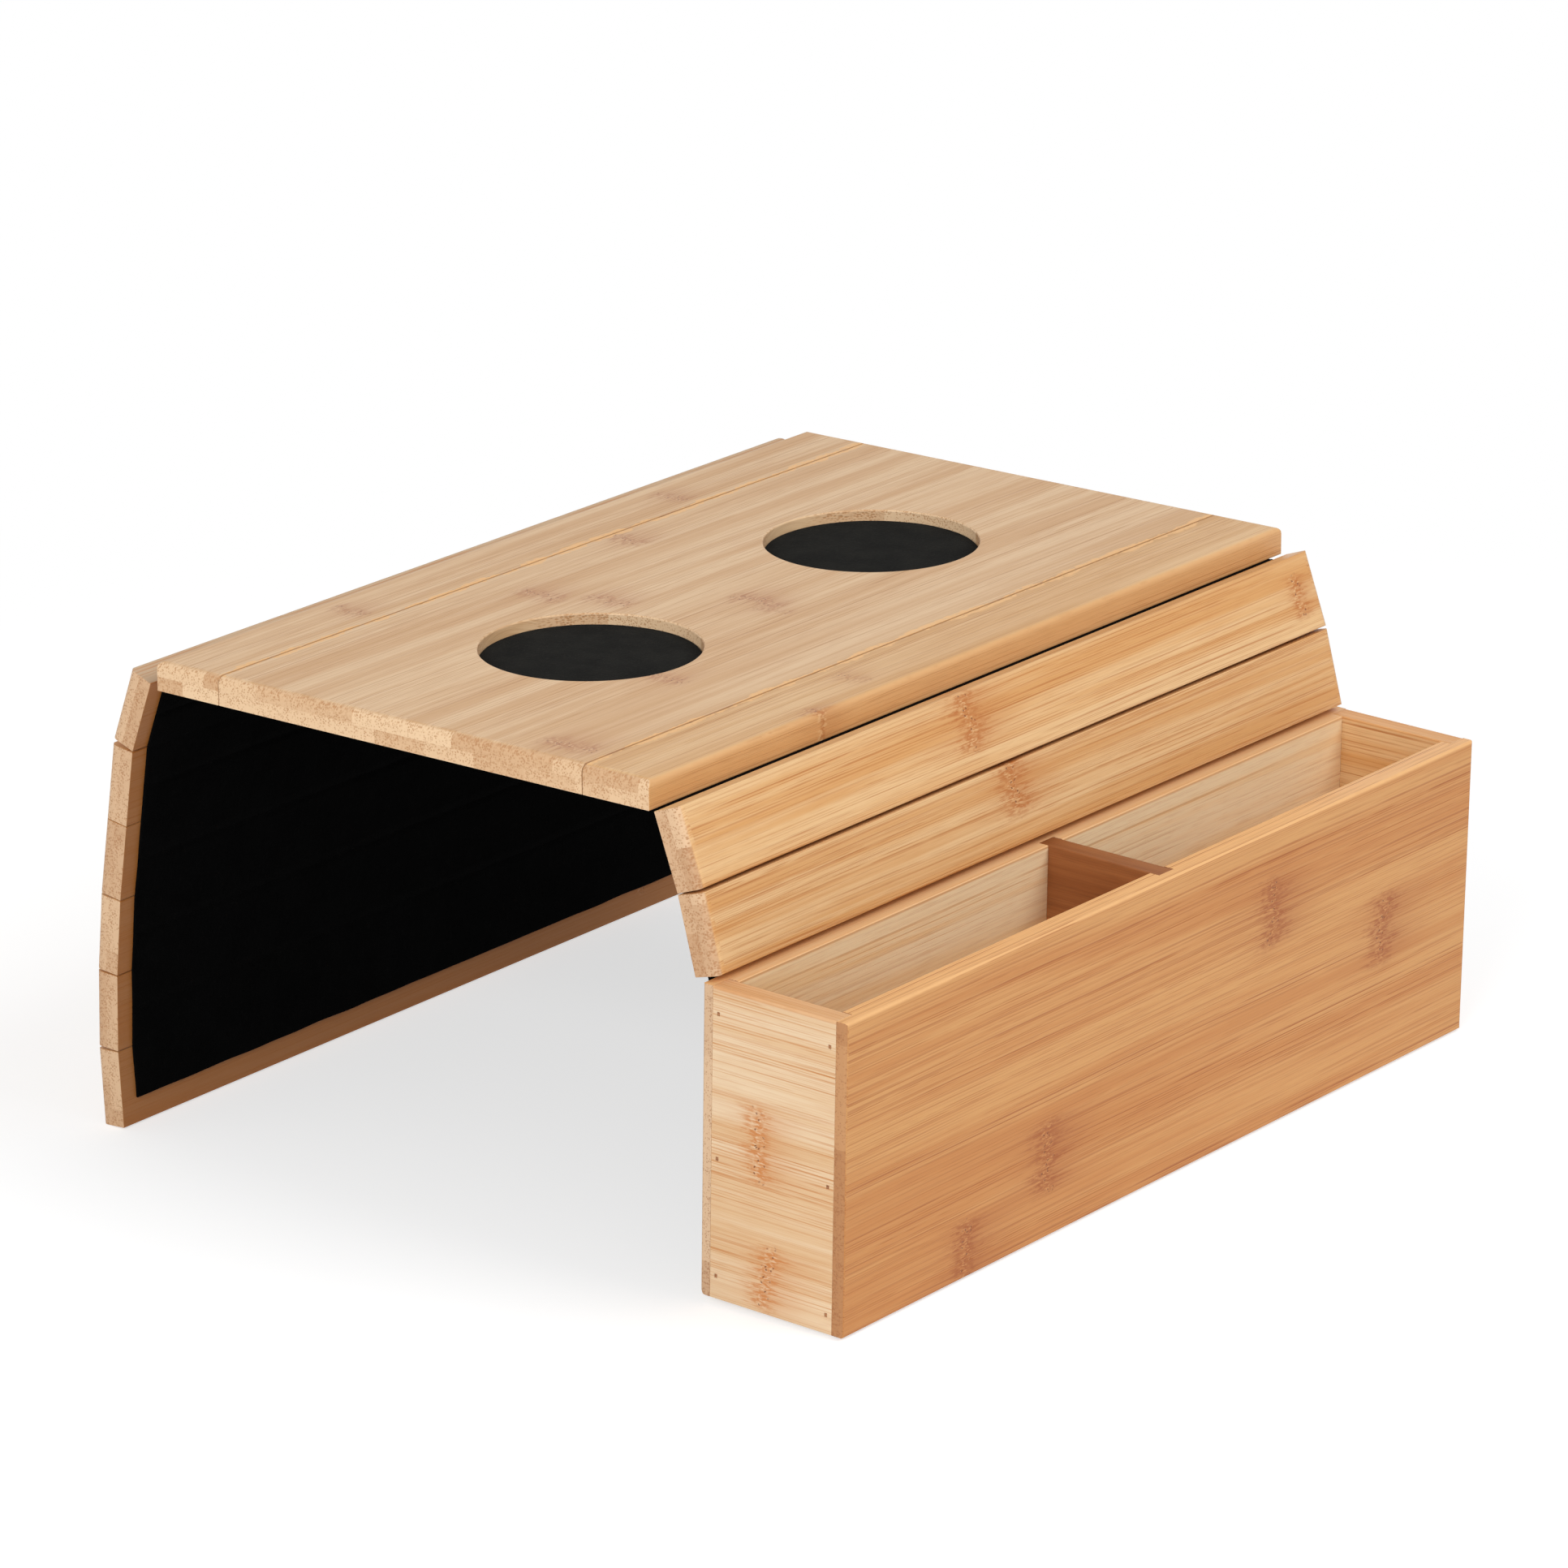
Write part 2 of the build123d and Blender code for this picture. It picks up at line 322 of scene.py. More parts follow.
class BambooGroups:
    """The shader groups that every bamboo finish shares.

    A board's place runs along its fibres, across them and through it, in millimetres. The two
    numbers given to smooth or fall are those between which a mask turns on or off.
    """

    SEED_SHIFT = 37.7
    LAYER_STAGGER = 9.3

    def __init__(self) -> None:
        """Build each group once."""
        self.fibre_lines = self._fibre_lines()
        self.fibres = self._fibres()
        self.knuckle = self._knuckle()
        self.end_grain = self._end_grain()
        self.chipped_edge = self._chipped_edge()

    @staticmethod
    def _random(wiring: Wiring, x: Feed, y: Feed, z: Feed, output: str,
                dimensions: str = "3D") -> Value:
        """Give a random value or colour for each set of whole numbers."""
        return wiring.value("ShaderNodeTexWhiteNoise", {"Vector": wiring.combine(x, y, z)}, output,
                            noise_dimensions=dimensions)

    def _strips(self, given: dict[str, Value], across: Value, depth: Value) -> list[Value]:
        """Give the seed's shift and the numbers of the layer and the pressed strip at a place."""
        shift = given["Seed"] * self.SEED_SHIFT
        layer = (depth / given["Layer"]).math("FLOOR")
        strip = (across + layer * self.LAYER_STAGGER + shift) / given["Strip Width"]
        return [shift, layer, strip.math("FLOOR")]

    def _fibre_lines(self) -> bpy.types.NodeTree:
        """Build straight parallel lines of uneven width and darkness, which fade in and out."""
        wiring, given = new_group(
            "fibre_lines", "Shader",
            ("Along", "Across", "Seed", "Pitch", "Half Width", "Fading"), ("Lines",))
        cell = given["Across"] / given["Pitch"]
        number = cell.math("FLOOR")
        place, width, darkness = wiring.split(
            self._random(wiring, number, given["Seed"], 0.0, "Color", "2D"))
        away = abs(cell.math("FRACT") - place.scaled(0.5, 0.25))
        reach = given["Half Width"] * width.scaled(1.2, 0.4) / given["Pitch"]
        line = away.fall(reach * 0.35, reach)
        fade = wiring.noise((given["Along"] * given["Fading"], number * 5.3, given["Seed"]),
                            roughness=0.6)
        shown = fade.smooth(0.36, 0.56) * darkness.scaled(0.75, 0.25)
        return wiring.close({"Lines": line * shown})

    def _fibres(self) -> bpy.types.NodeTree:
        """Build the fibre lines, streaks, broad bands and pressed strips of a board's faces."""
        wiring, given = new_group("bamboo_fibres", "Shader",
                                  ("Place", "Seed", "Strip Width", "Layer"),
                                  ("Band", "Lines", "Fine Lines", "Dashes", "Strip"))
        along, across, depth = wiring.split(given["Place"])
        shift, layer, strip = self._strips(given, across, depth)
        strip_value = self._random(wiring, strip, layer, given["Seed"], "Value")
        strip_shift = strip_value * 50.0
        sway = wiring.noise((along * 0.006, across * 0.03, shift), detail=1.0)
        swayed = sway.scaled(2.2, across) + shift
        round_corner = swayed + depth + strip_shift
        coarse = wiring.group(self.fibre_lines, {
            "Along": along, "Across": round_corner, "Seed": given["Seed"], "Pitch": 1.9,
            "Half Width": 0.36, "Fading": 0.016})["Lines"]
        fine = wiring.group(self.fibre_lines, {
            "Along": along, "Across": round_corner + 300.0, "Seed": strip_value, "Pitch": 0.83,
            "Half Width": 0.20, "Fading": 0.035})["Lines"]
        crowd = wiring.noise((along.scaled(0.004, shift), round_corner * 0.11, shift), detail=1.0)
        crowded = crowd.smooth(0.30, 0.62).scaled(0.65, 0.35)
        dashes = wiring.noise((along.scaled(0.055, shift), round_corner, 0.0), 1.3, roughness=0.6)
        band = wiring.noise((along.scaled(0.0035, shift), swayed * 0.13,
                             depth.scaled(0.085, shift)), detail=3.0, roughness=0.6)
        return wiring.close({"Band": band, "Lines": coarse * crowded,
                             "Fine Lines": fine * crowded, "Dashes": dashes.smooth(0.50, 0.68),
                             "Strip": strip_value})

    @staticmethod
    def _knuckle() -> bpy.types.NodeTree:
        """Build one ragged band across the fibres, with small pits and curled fibres in it."""
        wiring, given = new_group(
            "bamboo_knuckle", "Shader",
            ("Place", "Along", "Across", "Reach Along", "Reach Across", "Strength"),
            ("Patch", "Cast", "Pits", "Curls"))
        along, across, depth = wiring.split(given["Place"])
        from_across = across - given["Across"]
        bend = wiring.noise((0.0, across * 0.12, given["Along"]), roughness=0.6)
        chain = (bend - 0.5).scaled(given["Reach Along"] * 1.6, given["Along"])
        from_along = along - chain
        rag = wiring.noise((from_along.math("SIGN"), across * 0.9, given["Along"]), roughness=0.7)
        reach = given["Reach Along"] * rag.smooth(0.30, 0.75).scaled(1.9, 0.3)
        share_along = abs(from_along) / reach
        share_across = from_across / given["Reach Across"]
        width = abs(share_across).fall(0.60, 1.05)
        patch = width * share_along.fall(0.25, 1.15)
        flecks = wiring.noise((along * 0.26, across * 0.85, depth), roughness=0.6)
        flecked = patch * flecks.smooth(0.38, 0.60).scaled(0.75, 0.25)
        side = from_along / (given["Reach Along"] * 4.0)
        cast = abs(side).fall(0.0, 1.0) * width * side.math("SIGN").scaled(0.3, 0.7)
        cells = wiring.cells(wiring.combine(from_along, across, 0.0), 0.40, 1.0, "2D")
        chosen = wiring.split(cells["Color"])[0].smooth(0.30, 0.34)
        dot = chosen * cells["Distance"].fall(0.08, 0.19)
        middle = abs(from_along).fall(1.6, 3.2)
        pits = dot * middle * width
        curl = wiring.noise((from_along * 0.55, across * 1.5, depth), detail=1.0)
        curls = curl.smooth(0.52, 0.66) * (middle * width)
        masks = {"Patch": flecked, "Cast": cast, "Pits": pits, "Curls": curls}
        return wiring.close({label: mask * given["Strength"] for label, mask in masks.items()})

    def _end_grain(self) -> bpy.types.NodeTree:
        """Build the dotted face that a board shows where its fibres are cut across."""
        wiring, given = new_group("bamboo_end_grain", "Shader",
                                  ("Place", "Seed", "Strip Width", "Layer"), ("Dots", "Block"))
        along, across, depth = wiring.split(given["Place"])
        layer, strip = self._strips(given, across, depth)[1:]
        block = self._random(wiring, strip, layer, given["Seed"] + 4.0, "Value")
        flat = wiring.combine(along * 0.08, across, depth)
        cells = wiring.cells(flat, 1.35, 0.75)
        inside = (depth / given["Layer"]).math("FRACT")
        crowding = inside.scaled(0.18, block.scaled(0.18, 0.20))
        dots = cells["Distance"].fall(crowding * 0.6, crowding + 0.22)
        mottled = dots * wiring.noise(flat, 0.45).smooth(0.25, 0.6)
        return wiring.close({"Dots": mottled, "Block": block})

    @staticmethod
    def _chipped_edge() -> bpy.types.NodeTree:
        """Build the torn, brighter fibres that a saw leaves along a board's long edges, and a dark
        line right at those edges that is painted shade for the seam between boards.
        """
        wiring, given = new_group("chipped_edge", "Shader", ("Place", "Width", "Reach", "Seed"),
                                  ("Chips", "Rim"))
        along, across, depth = wiring.split(given["Place"])
        edge = across.math("MINIMUM", given["Width"] - across)
        on_top = depth.smooth(8.9, 9.5)
        torn = wiring.noise((along * 0.045, given["Seed"] * 9.1, across * 0.01), detail=4.0,
                            roughness=0.7)
        ragged = wiring.noise((along * 0.30, across * 1.1, given["Seed"]), roughness=0.6)
        reach = given["Reach"] * torn.smooth(0.38, 0.64)
        chips = ragged.smooth(0.28, 0.46) * edge.fall(reach * 0.5, reach + 0.10)
        # Painted shade: a dark line within half a millimetre of the edge, for the shadow in the
        # seam.
        rim = edge.fall(0.12, 0.45)
        return wiring.close({"Chips": chips * on_top, "Rim": rim * on_top})


@dataclass(frozen=True)
class BoardPlan:
    """What one board is made of. Its sizes and places are in millimetres."""

    finish: BambooFinish
    grain_axis: Vector
    chip_width: float = 0.0
    chip_reach: float = 0.0
    edge_place: float = 0.0
    edge_share: float = 0.0
    edge_colour: Colour = (255, 255, 255)


@dataclass(frozen=True)
class BambooMaker:
    """Makes the material of one board from its plan and its knuckles."""

    groups: BambooGroups
    seam_shade_colour: Colour = (124, 70, 34)
    pit_colour: Colour = (120, 68, 34)
    chip_colour: Colour = (238, 186, 122)
    bump_distance: float = 0.0004
    shine: float = 0.32

    def make(self, board: str, plan: BoardPlan, seed: float,
             knuckles: tuple[Knuckle, ...]) -> bpy.types.Material:
        """Make the material of one board.

        Args:
            board: The board's name.
            plan: Its finish and how its edges look.
            seed: What tells its pattern from that of the other boards.
            knuckles: Where nodes of the cane show on it.

        Returns:
            The material.
        """
        finish = plan.finish
        material, wiring, shader = new_material(f"bamboo_{board}")
        raw = wiring.value("ShaderNodeAttribute", output="Vector", attribute_name=PLACE_ATTRIBUTE)
        place = wiring.value("ShaderNodeVectorMath", {0: raw, "Scale": 1 / MILLIMETRE},
                             operation="SCALE")
        normal = wiring.value("ShaderNodeTexCoord", output="Normal")
        facing = wiring.value("ShaderNodeVectorMath", {0: normal, 1: tuple(plan.grain_axis)},
                              "Value", operation="DOT_PRODUCT")
        cut_across = abs(facing).smooth(0.20, 0.55)
        sizes = {"Place": place, "Seed": seed, "Strip Width": finish.strip_width,
                 "Layer": finish.layer_thickness}
        fibres = wiring.group(self.groups.fibres, sizes)
        band = (fibres["Strip"] - 0.5).scaled(finish.strip_contrast, fibres["Band"])
        colour = wiring.mix(band.smooth(finish.band_centre - finish.band_half_width,
                                        finish.band_centre + finish.band_half_width),
                            finish.pale, finish.warm)
        across, depth = wiring.split(place)[1:]
        # A band along one edge takes another colour: the wood's own tone on the shoulder, the
        # box's rims and left slat 1, and painted light on the front board's rim.
        if plan.edge_share:
            at_edge = abs(across - plan.edge_place).fall(0.4, 1.5)
            colour = wiring.mix(at_edge * plan.edge_share, colour, plan.edge_colour)
        lines = fibres["Lines"] * finish.line_strength
        fine = fibres["Fine Lines"] * finish.fine_strength
        dashes = fibres["Dashes"] * finish.dash_strength
        for mask in (lines, fine, dashes):
            colour = wiring.mix(mask, colour, finish.line)
        height = lines.scaled(-0.5, fine * -0.3)
        # Painted shade: the wood within half a millimetre of the glued underside is darkened
        # towards the line colour, for the shade under the boards.
        colour = wiring.mix(depth.fall(0.10, 0.40) * finish.underside_shade, colour, finish.line)
        for knuckle in knuckles:
            spot = wiring.group(self.groups.knuckle, {
                "Place": place, "Along": knuckle.along, "Across": knuckle.across,
                "Reach Along": knuckle.reach_along, "Reach Across": knuckle.reach_across,
                "Strength": knuckle.strength})
            for label, share, tone in (("Cast", 0.38, finish.knuckle),
                                       ("Patch", 0.90, finish.knuckle),
                                       ("Curls", 0.55, finish.pale),
                                       ("Pits", 0.85, self.pit_colour)):
                colour = wiring.mix(spot[label] * share, colour, tone)
            height = spot["Pits"].scaled(-1.5, height)
        if plan.chip_width:
            torn = wiring.group(self.groups.chipped_edge, {
                "Place": place, "Width": plan.chip_width, "Reach": plan.chip_reach, "Seed": seed})
            colour = wiring.mix(torn["Chips"] * 0.9, colour, self.chip_colour)
            # Painted shade in the seams: the dark line along the cut edges.
            colour = wiring.mix(torn["Rim"] * 0.6, colour, self.seam_shade_colour)
        ends = wiring.group(self.groups.end_grain, sizes)
        end_colour = wiring.mix(ends["Block"] * 0.50, finish.end_light, finish.end_dark)
        end_colour = wiring.mix(ends["Dots"] * 0.75, end_colour, finish.end_dark)
        colour = wiring.mix(cut_across, colour, end_colour)
        height = wiring.value("ShaderNodeMix", {0: cut_across, 2: height, 3: ends["Dots"] * -0.8},
                              data_type="FLOAT")
        wiring.feed(shader, {
            "Base Color": colour, "Normal": wiring.bump(height, finish.bump, self.bump_distance),
            "Roughness": fibres["Fine Lines"].scaled(0.16, finish.roughness - 0.08),
            "Specular IOR Level": self.shine})
        return material


@dataclass(frozen=True)
class FeltFinish:
    """Needled black felt: matt, with short fibres that lie mostly one way."""

    name: str
    base: Colour
    fibre: Colour
    sheen: float
    sheen_roughness: float = 0.6
    shine: float = 0.03

    def make(self) -> bpy.types.Material:
        """Make the felt's material."""
        material, wiring, shader = new_material(self.name)
        place = wiring.value("ShaderNodeTexCoord", output="Object")
        x, y, z = wiring.split(place)
        streaks = wiring.noise((x * 900.0, y * 900.0, z * 260.0), detail=3.0, roughness=0.7)
        flecks = wiring.noise(place, 2600.0, roughness=0.6)
        cloud = wiring.noise(place, 90.0, 3.0, 0.6)
        fibres = streaks.smooth(0.50, 0.75) * flecks.smooth(0.35, 0.65)
        shade = cloud.smooth(0.3, 0.7).scaled(0.35, fibres)
        wiring.feed(shader, {
            "Base Color": wiring.mix(shade, self.base, self.fibre),
            "Normal": wiring.bump(flecks * 0.5 + streaks, 0.6, 0.0005), "Roughness": 1.0,
            "Specular IOR Level": self.shine, "Sheen Weight": self.sheen,
            "Sheen Roughness": self.sheen_roughness})
        return material


@dataclass(frozen=True)
class SteelFinish:
    """Dull steel, stained a rust brown."""

    bare: Colour = (176, 122, 80)
    stained: Colour = (132, 78, 44)
    metallic: float = 0.2

    def make(self) -> bpy.types.Material:
        """Make the brads' material."""
        material, wiring, shader = new_material("brad_steel")
        stain = wiring.noise(wiring.value("ShaderNodeTexCoord", output="Object"), 1800.0, 3.0, 0.6)
        wiring.feed(shader, {
            "Base Color": wiring.mix(stain.smooth(0.4, 0.65), self.bare, self.stained),
            "Roughness": stain.scaled(0.3, 0.35), "Normal": wiring.bump(stain, 0.4, 0.0001),
            "Metallic": self.metallic})
        return material


class BoardTree:
    """The geometry tree of one pressed board with rounded ends and eased, chipped edges.

    The board is shaped flat, then laid at a distance from a hinge line and turned about it.
    """

    SIZES = ("Width", "Length", "Thickness", "End Round", "Inner Round", "Outer Round",
             "Under Round", "Chip Depth", "Chip Seed", "Side", "Start", "Lift", "Turn",
             "Hinge X", "Hinge Z")
    LAYERS = 16
    END_ZONE = 0.004
    END_SHARE = 0.09

    def __init__(self) -> None:
        """Build the tree and its helper group once."""
        self.rounding = self._rounding()
        self.tree = self._tree()

    @staticmethod
    def _rounding() -> bpy.types.NodeTree:
        """Build the group that rounds the corner between two coordinates of a block."""
        wiring, given = new_group("round_corner", "Geometry",
                                  ("A", "B", "Half A", "Half B", "Radius"), ("A", "B"))
        sizes = [abs(given[label]) for label in "AB"]
        cores = [given[f"Half {label}"] - given["Radius"] for label in "AB"]
        past = [(size - core).math("MAXIMUM", 0.0) for size, core in zip(sizes, cores)]
        reach = (past[0] * past[0] + past[1] * past[1]).math("SQRT")
        pull = (given["Radius"] / reach.math("MAXIMUM", 1e-9)).math("MINIMUM", 1.0)
        rounded = {}
        for number, label in enumerate("AB"):
            size = past[number].scaled(pull, sizes[number].math("MINIMUM", cores[number]))
            rounded[label] = size * given[label].math("SIGN")
        return wiring.close(rounded)

    @staticmethod
    def _crowded(value: Value, size: Value) -> Value:
        """Spread a block's rows over a size so that they crowd near its edges."""
        share = value * 2.0
        eased = 1.0 - (1.0 - abs(share)).math("MAXIMUM", 0.0).math("POWER", 3.0)
        return eased * (size * 0.5) * share.math("SIGN")

    def _spread_rows(self, y: Value, half_length: Value) -> Value:
        """Spread a block's rows along it so that many lie in its two rounded ends."""
        from_end = (1.0 - abs(y * 2.0)).math("MAXIMUM", 0.0)
        near_end = (from_end / self.END_SHARE).math("MINIMUM", 1.0).math("POWER", 1.8)
        near_end = near_end * self.END_ZONE
        further = (from_end - self.END_SHARE).math("MAXIMUM", 0.0) / (1.0 - self.END_SHARE)
        further = further * (half_length - self.END_ZONE)
        return (half_length - (near_end + further)) * y.math("SIGN")

    def _tree(self) -> bpy.types.NodeTree:
        """Build the board's own tree."""
        wiring, given = new_group("pressed_board", "Geometry",
                                  (*self.SIZES, "Columns", "Rows", "Material"), ("Geometry",))
        block = wiring.value("GeometryNodeMeshCube", {
            "Size": (1.0, 1.0, 1.0), "Vertices X": given["Columns"], "Vertices Y": given["Rows"],
            "Vertices Z": self.LAYERS}, "Mesh")
        x, y, z = wiring.split(wiring.value("GeometryNodeInputPosition"))
        half = [given[label] * 0.5 for label in ("Width", "Length", "Thickness")]
        x = self._crowded(x, given["Width"])
        z = self._crowded(z, given["Thickness"])
        y = self._spread_rows(y, half[1])

        under = given["Under Round"]
        outer = (x * given["Side"]).math("GREATER_THAN", 0.0)
        upper = z.math("GREATER_THAN", 0.0)
        long_round = outer.between(given["Inner Round"], given["Outer Round"])
        torn = wiring.noise((y * 170.0, outer.scaled(5.0, given["Chip Seed"]), 0.0), detail=3.0,
                            roughness=0.65)
        long_round = long_round + given["Chip Depth"] * torn.smooth(0.50, 0.75)
        edge_round = upper.between(under, long_round)
        end_round = upper.between(under, given["End Round"])
        spots = [x, y, z]
        for first, second, radius in ((0, 2, edge_round), (1, 2, end_round), (0, 1, under)):
            spots[first], spots[second] = wiring.group(self.rounding, {
                "A": spots[first], "B": spots[second], "Half A": half[first],
                "Half B": half[second], "Radius": radius}).values()
        x, y, z = spots

        reach = given["Side"].scaled(half[0] + given["Start"], x)
        rise = z + half[2] + given["Lift"]
        turn = given["Side"] * given["Turn"]
        cosine = turn.math("COSINE")
        sine = turn.math("SINE")
        world_x = given["Hinge X"] + (reach * cosine + rise * sine)
        world_z = given["Hinge Z"] + (rise * cosine - reach * sine)
        placed = wiring.value("GeometryNodeSetPosition", {
            "Geometry": block, "Position": wiring.combine(world_x, y, world_z)})
        smooth = wiring.value("GeometryNodeSetShadeSmooth", {0: placed})
        return wiring.close_mesh(smooth, given["Material"])


def grown(piece: bpy.types.Object, tree: bpy.types.NodeTree, values: dict) -> bpy.types.Object:
    """Run a geometry tree on a piece and keep the result as its plain mesh.

    Args:
        piece: The piece.
        tree: The tree.
        values: What its inputs hold, by name.

    Returns:
        The same piece.
    """
    modifier = piece.modifiers.new(tree.name, "NODES")
    modifier.node_group = tree
    for item in tree.interface.items_tree:
        if item.in_out == "INPUT" and item.name in values:
            modifier[item.identifier] = values[item.name]
    return evaluated(piece)


def evaluated(piece: bpy.types.Object) -> bpy.types.Object:
    """Turn a piece's modifiers into its own plain mesh.

    Args:
        piece: The piece with live modifiers.

    Returns:
        The same piece, with its result as its mesh and no modifier.
    """
    bpy.context.view_layer.update()
    graph = bpy.context.evaluated_depsgraph_get()
    mesh = bpy.data.meshes.new_from_object(piece.evaluated_get(graph),
                                           preserve_all_data_layers=True, depsgraph=graph)
    piece.modifiers.clear()
    mesh.name = piece.name
    piece.data = mesh
    return piece


def with_even_faces(piece: bpy.types.Object, material: bpy.types.Material,
                    sharp_angle: float = 35.0) -> bpy.types.Object:
    """Give a piece one material, and keep its flat faces flat to the light and its edges sharp.

    Args:
        piece: The piece, as a plain mesh.
        material: The material of all its faces.
        sharp_angle: From how many degrees on an edge is sharp.

    Returns:
        The same piece.
    """
    piece.data.materials.clear()
    piece.data.materials.append(material)
    for face in piece.data.polygons:
        face.material_index = 0
    piece.data.shade_smooth()
    piece.data.set_sharp_from_angle(angle=math.radians(sharp_angle))
    even = piece.modifiers.new("even_faces", "WEIGHTED_NORMAL")
    even.keep_sharp = True
    return evaluated(piece)


def linked(name: str, data: bpy.types.ID | None) -> bpy.types.Object:
    """Link a new object to the scene."""
    item = bpy.data.objects.new(name, data)
    bpy.context.scene.collection.objects.link(item)
    return item


def mesh_from(name: str, points: list, faces: list) -> bpy.types.Mesh:
    """Make a smooth mesh from points and faces, its faces pointing outwards."""
    mesh = bpy.data.meshes.new(name)
    mesh.from_pydata([tuple(point) for point in points], [], faces)
    shape = bmesh.new()
    shape.from_mesh(mesh)
    bmesh.ops.recalc_face_normals(shape, faces=shape.faces)
    shape.to_mesh(mesh)
    shape.free()
    mesh.shade_smooth()
    return mesh


def note_place(piece: bpy.types.Object, to_board: Matrix) -> None:
    """Store each point's place on its board: along the fibres, across them and through it.

    Args:
        piece: The board's finished piece.
        to_board: What takes a point of the frame to the board's own axes.
    """
    mesh = piece.data
    attribute = mesh.attributes.new(PLACE_ATTRIBUTE, "FLOAT_VECTOR", "POINT")
    places = [to_board @ vertex.co for vertex in mesh.vertices]
    attribute.data.foreach_set("vector", [share for place in places for share in place])


def hand_over(piece: bpy.types.Object, body: str, node: str) -> None:
    """Hang a piece on the body that it rides on, hide the node that it replaces and log its faces.
    """
    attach(piece, body)
    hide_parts(node)
    LOG.info("%s on %s, %d faces", piece.name, body, len(piece.data.polygons))


@dataclass(frozen=True)
class MatHinge:
    """A line across the mat about which all beyond it folds."""

    inner_body: str
    outer_body: str
    flat_place: float
    fold: float
    bend_before: float
    bend_after: float

    def as_line(self) -> "MatHinge":
        """Give the same hinge with its whole turn at its line, as rigid boards see it."""
        return replace(self, bend_before=0.0, bend_after=SHARP_BEND)


@dataclass
class FoldingMat:
    """The slats of both sides and the felt sheet that carries them all."""

    length: float = 0.350
    wood_thickness: float = 0.010
    felt_thickness: float = 0.001
    glue_thickness: float = 0.00005
    saw_kerf: float = 0.0003
    centre_width: float = 0.154
    slat_width: float = 0.027
    slat_columns: int = 26
    slat_rows: int = 240
    end_round: float = 0.003
    edge_round: float = 0.00045
    shoulder_round: float = 0.0018
    under_round: float = 0.00025
    chip_depth: float = 0.0005
    hanging_chip_depth: float = 0.00015
    felt_end_inset: float = 0.007
    felt_lower_inset: float = 0.009
    bend_divisor: float = 30.0
    shoulder_bend_share: float = 0.8
    shoulder_past_share: float = 0.3
    box_bend_share: float = 0.25
    chip_seed_step: float = 3.0
    right_chip_seed: float = 40.0
    felt_step: float = 0.0025
    felt_least_steps: int = 4
    felt_bend_steps: int = 11
    felt_rows: int = 121
    felt_soft_edge: float = 0.0003
    felt_edge_steps: tuple[float, float] = (0.0001, 0.0003)
    cut_stray: float = 0.0003
    cut_waves_per_metre: float = 60.0
    end_cut_seed: float = 3.0
    edge_cut_seed: float = 8.0
    shoulder_free: dict = field(default_factory=lambda: {Side.LEFT: 0.003, Side.RIGHT: 0.00135})
    box_free: float = 0.017
    box_gap: float = 0.0003
    box_height: float = 0.106
    slat_counts: dict = field(default_factory=lambda: {Side.LEFT: 6, Side.RIGHT: 2})

    @property
    def wood_underside(self) -> float:
        """How far the wood's glued face lies from the felt's free face."""
        return self.felt_thickness + self.glue_thickness

    @property
    def board_top(self) -> float:
        """How high the wood's upper face lies on the flat mat."""
        return self.wood_underside + self.wood_thickness

    def slat_start(self, number: int) -> float:
        """Give where a slat begins on the flat mat, from the mat's middle."""
        return self.centre_width / 2 + self.saw_kerf + number * (self.slat_width + self.saw_kerf)

    def last_edge(self, side: Side) -> float:
        """Give where the last slat of one side ends on the flat mat."""
        return self.slat_start(self.slat_counts[side]) + self.slat_width

    def hinges(self, side: Side) -> list[MatHinge]:
        """Give the hinge lines of one side, from the centre board outwards.

        Args:
            side: The side of the tray.

        Returns:
            The hinge lines, their folds taken from the frame's joints.
        """
        joints = {joint["name"]: joint for joint in frame["joints"]}
        name = side.name.lower()
        count = self.slat_counts[side]
        bodies = ["centre", f"{name}_edge"] + [f"{name}_{i}" for i in range(1, count + 1)]
        small = self.slat_width / self.bend_divisor
        shoulder = self.slat_start(1) - self.saw_kerf + self.shoulder_free[side]
        places = [(self.slat_start(i) - self.saw_kerf / 2, small, small)
                  for i in range(count + 1)]
        places[1] = (shoulder, self.shoulder_free[side] * self.shoulder_bend_share,
                     small * self.shoulder_past_share)
        if side == Side.RIGHT:
            bodies.append("box")
            places.append((self.last_edge(side) + self.box_free,
                           self.box_free * self.box_bend_share, small))
        found = []
        for inner, outer, (place, before, after) in zip(bodies, bodies[1:], places):
            fold = -math.radians(joints[f"{outer}_fold"]["range_deg"][0])
            found.append(MatHinge(inner, outer, place, fold, before, after))
        return found

    def at_rest(self, side: Side, hinges: list[MatHinge], flat: float, rise: float) -> Vector:
        """Give where a point of the flat mat lies as the tray hangs, at mid-length.

        Args:
            side: The side of the tray.
            hinges: That side's hinge lines.
            flat: The point's distance from the mat's middle.
            rise: Its distance above the felt's free face.

        Returns:
            The point, with Y at 0.
        """
        across, up = flat, rise
        for hinge in reversed(hinges):
            start = hinge.flat_place - hinge.bend_before
            share = (flat - start) / (hinge.bend_before + hinge.bend_after)
            share = min(max(share, 0.0), 1.0)
            angle = hinge.fold * share * share * (3 - 2 * share)
            away = across - hinge.flat_place
            across = hinge.flat_place + away * math.cos(angle) + up * math.sin(angle)
            up = up * math.cos(angle) - away * math.sin(angle)
        return Vector((side * across, 0.0, up))

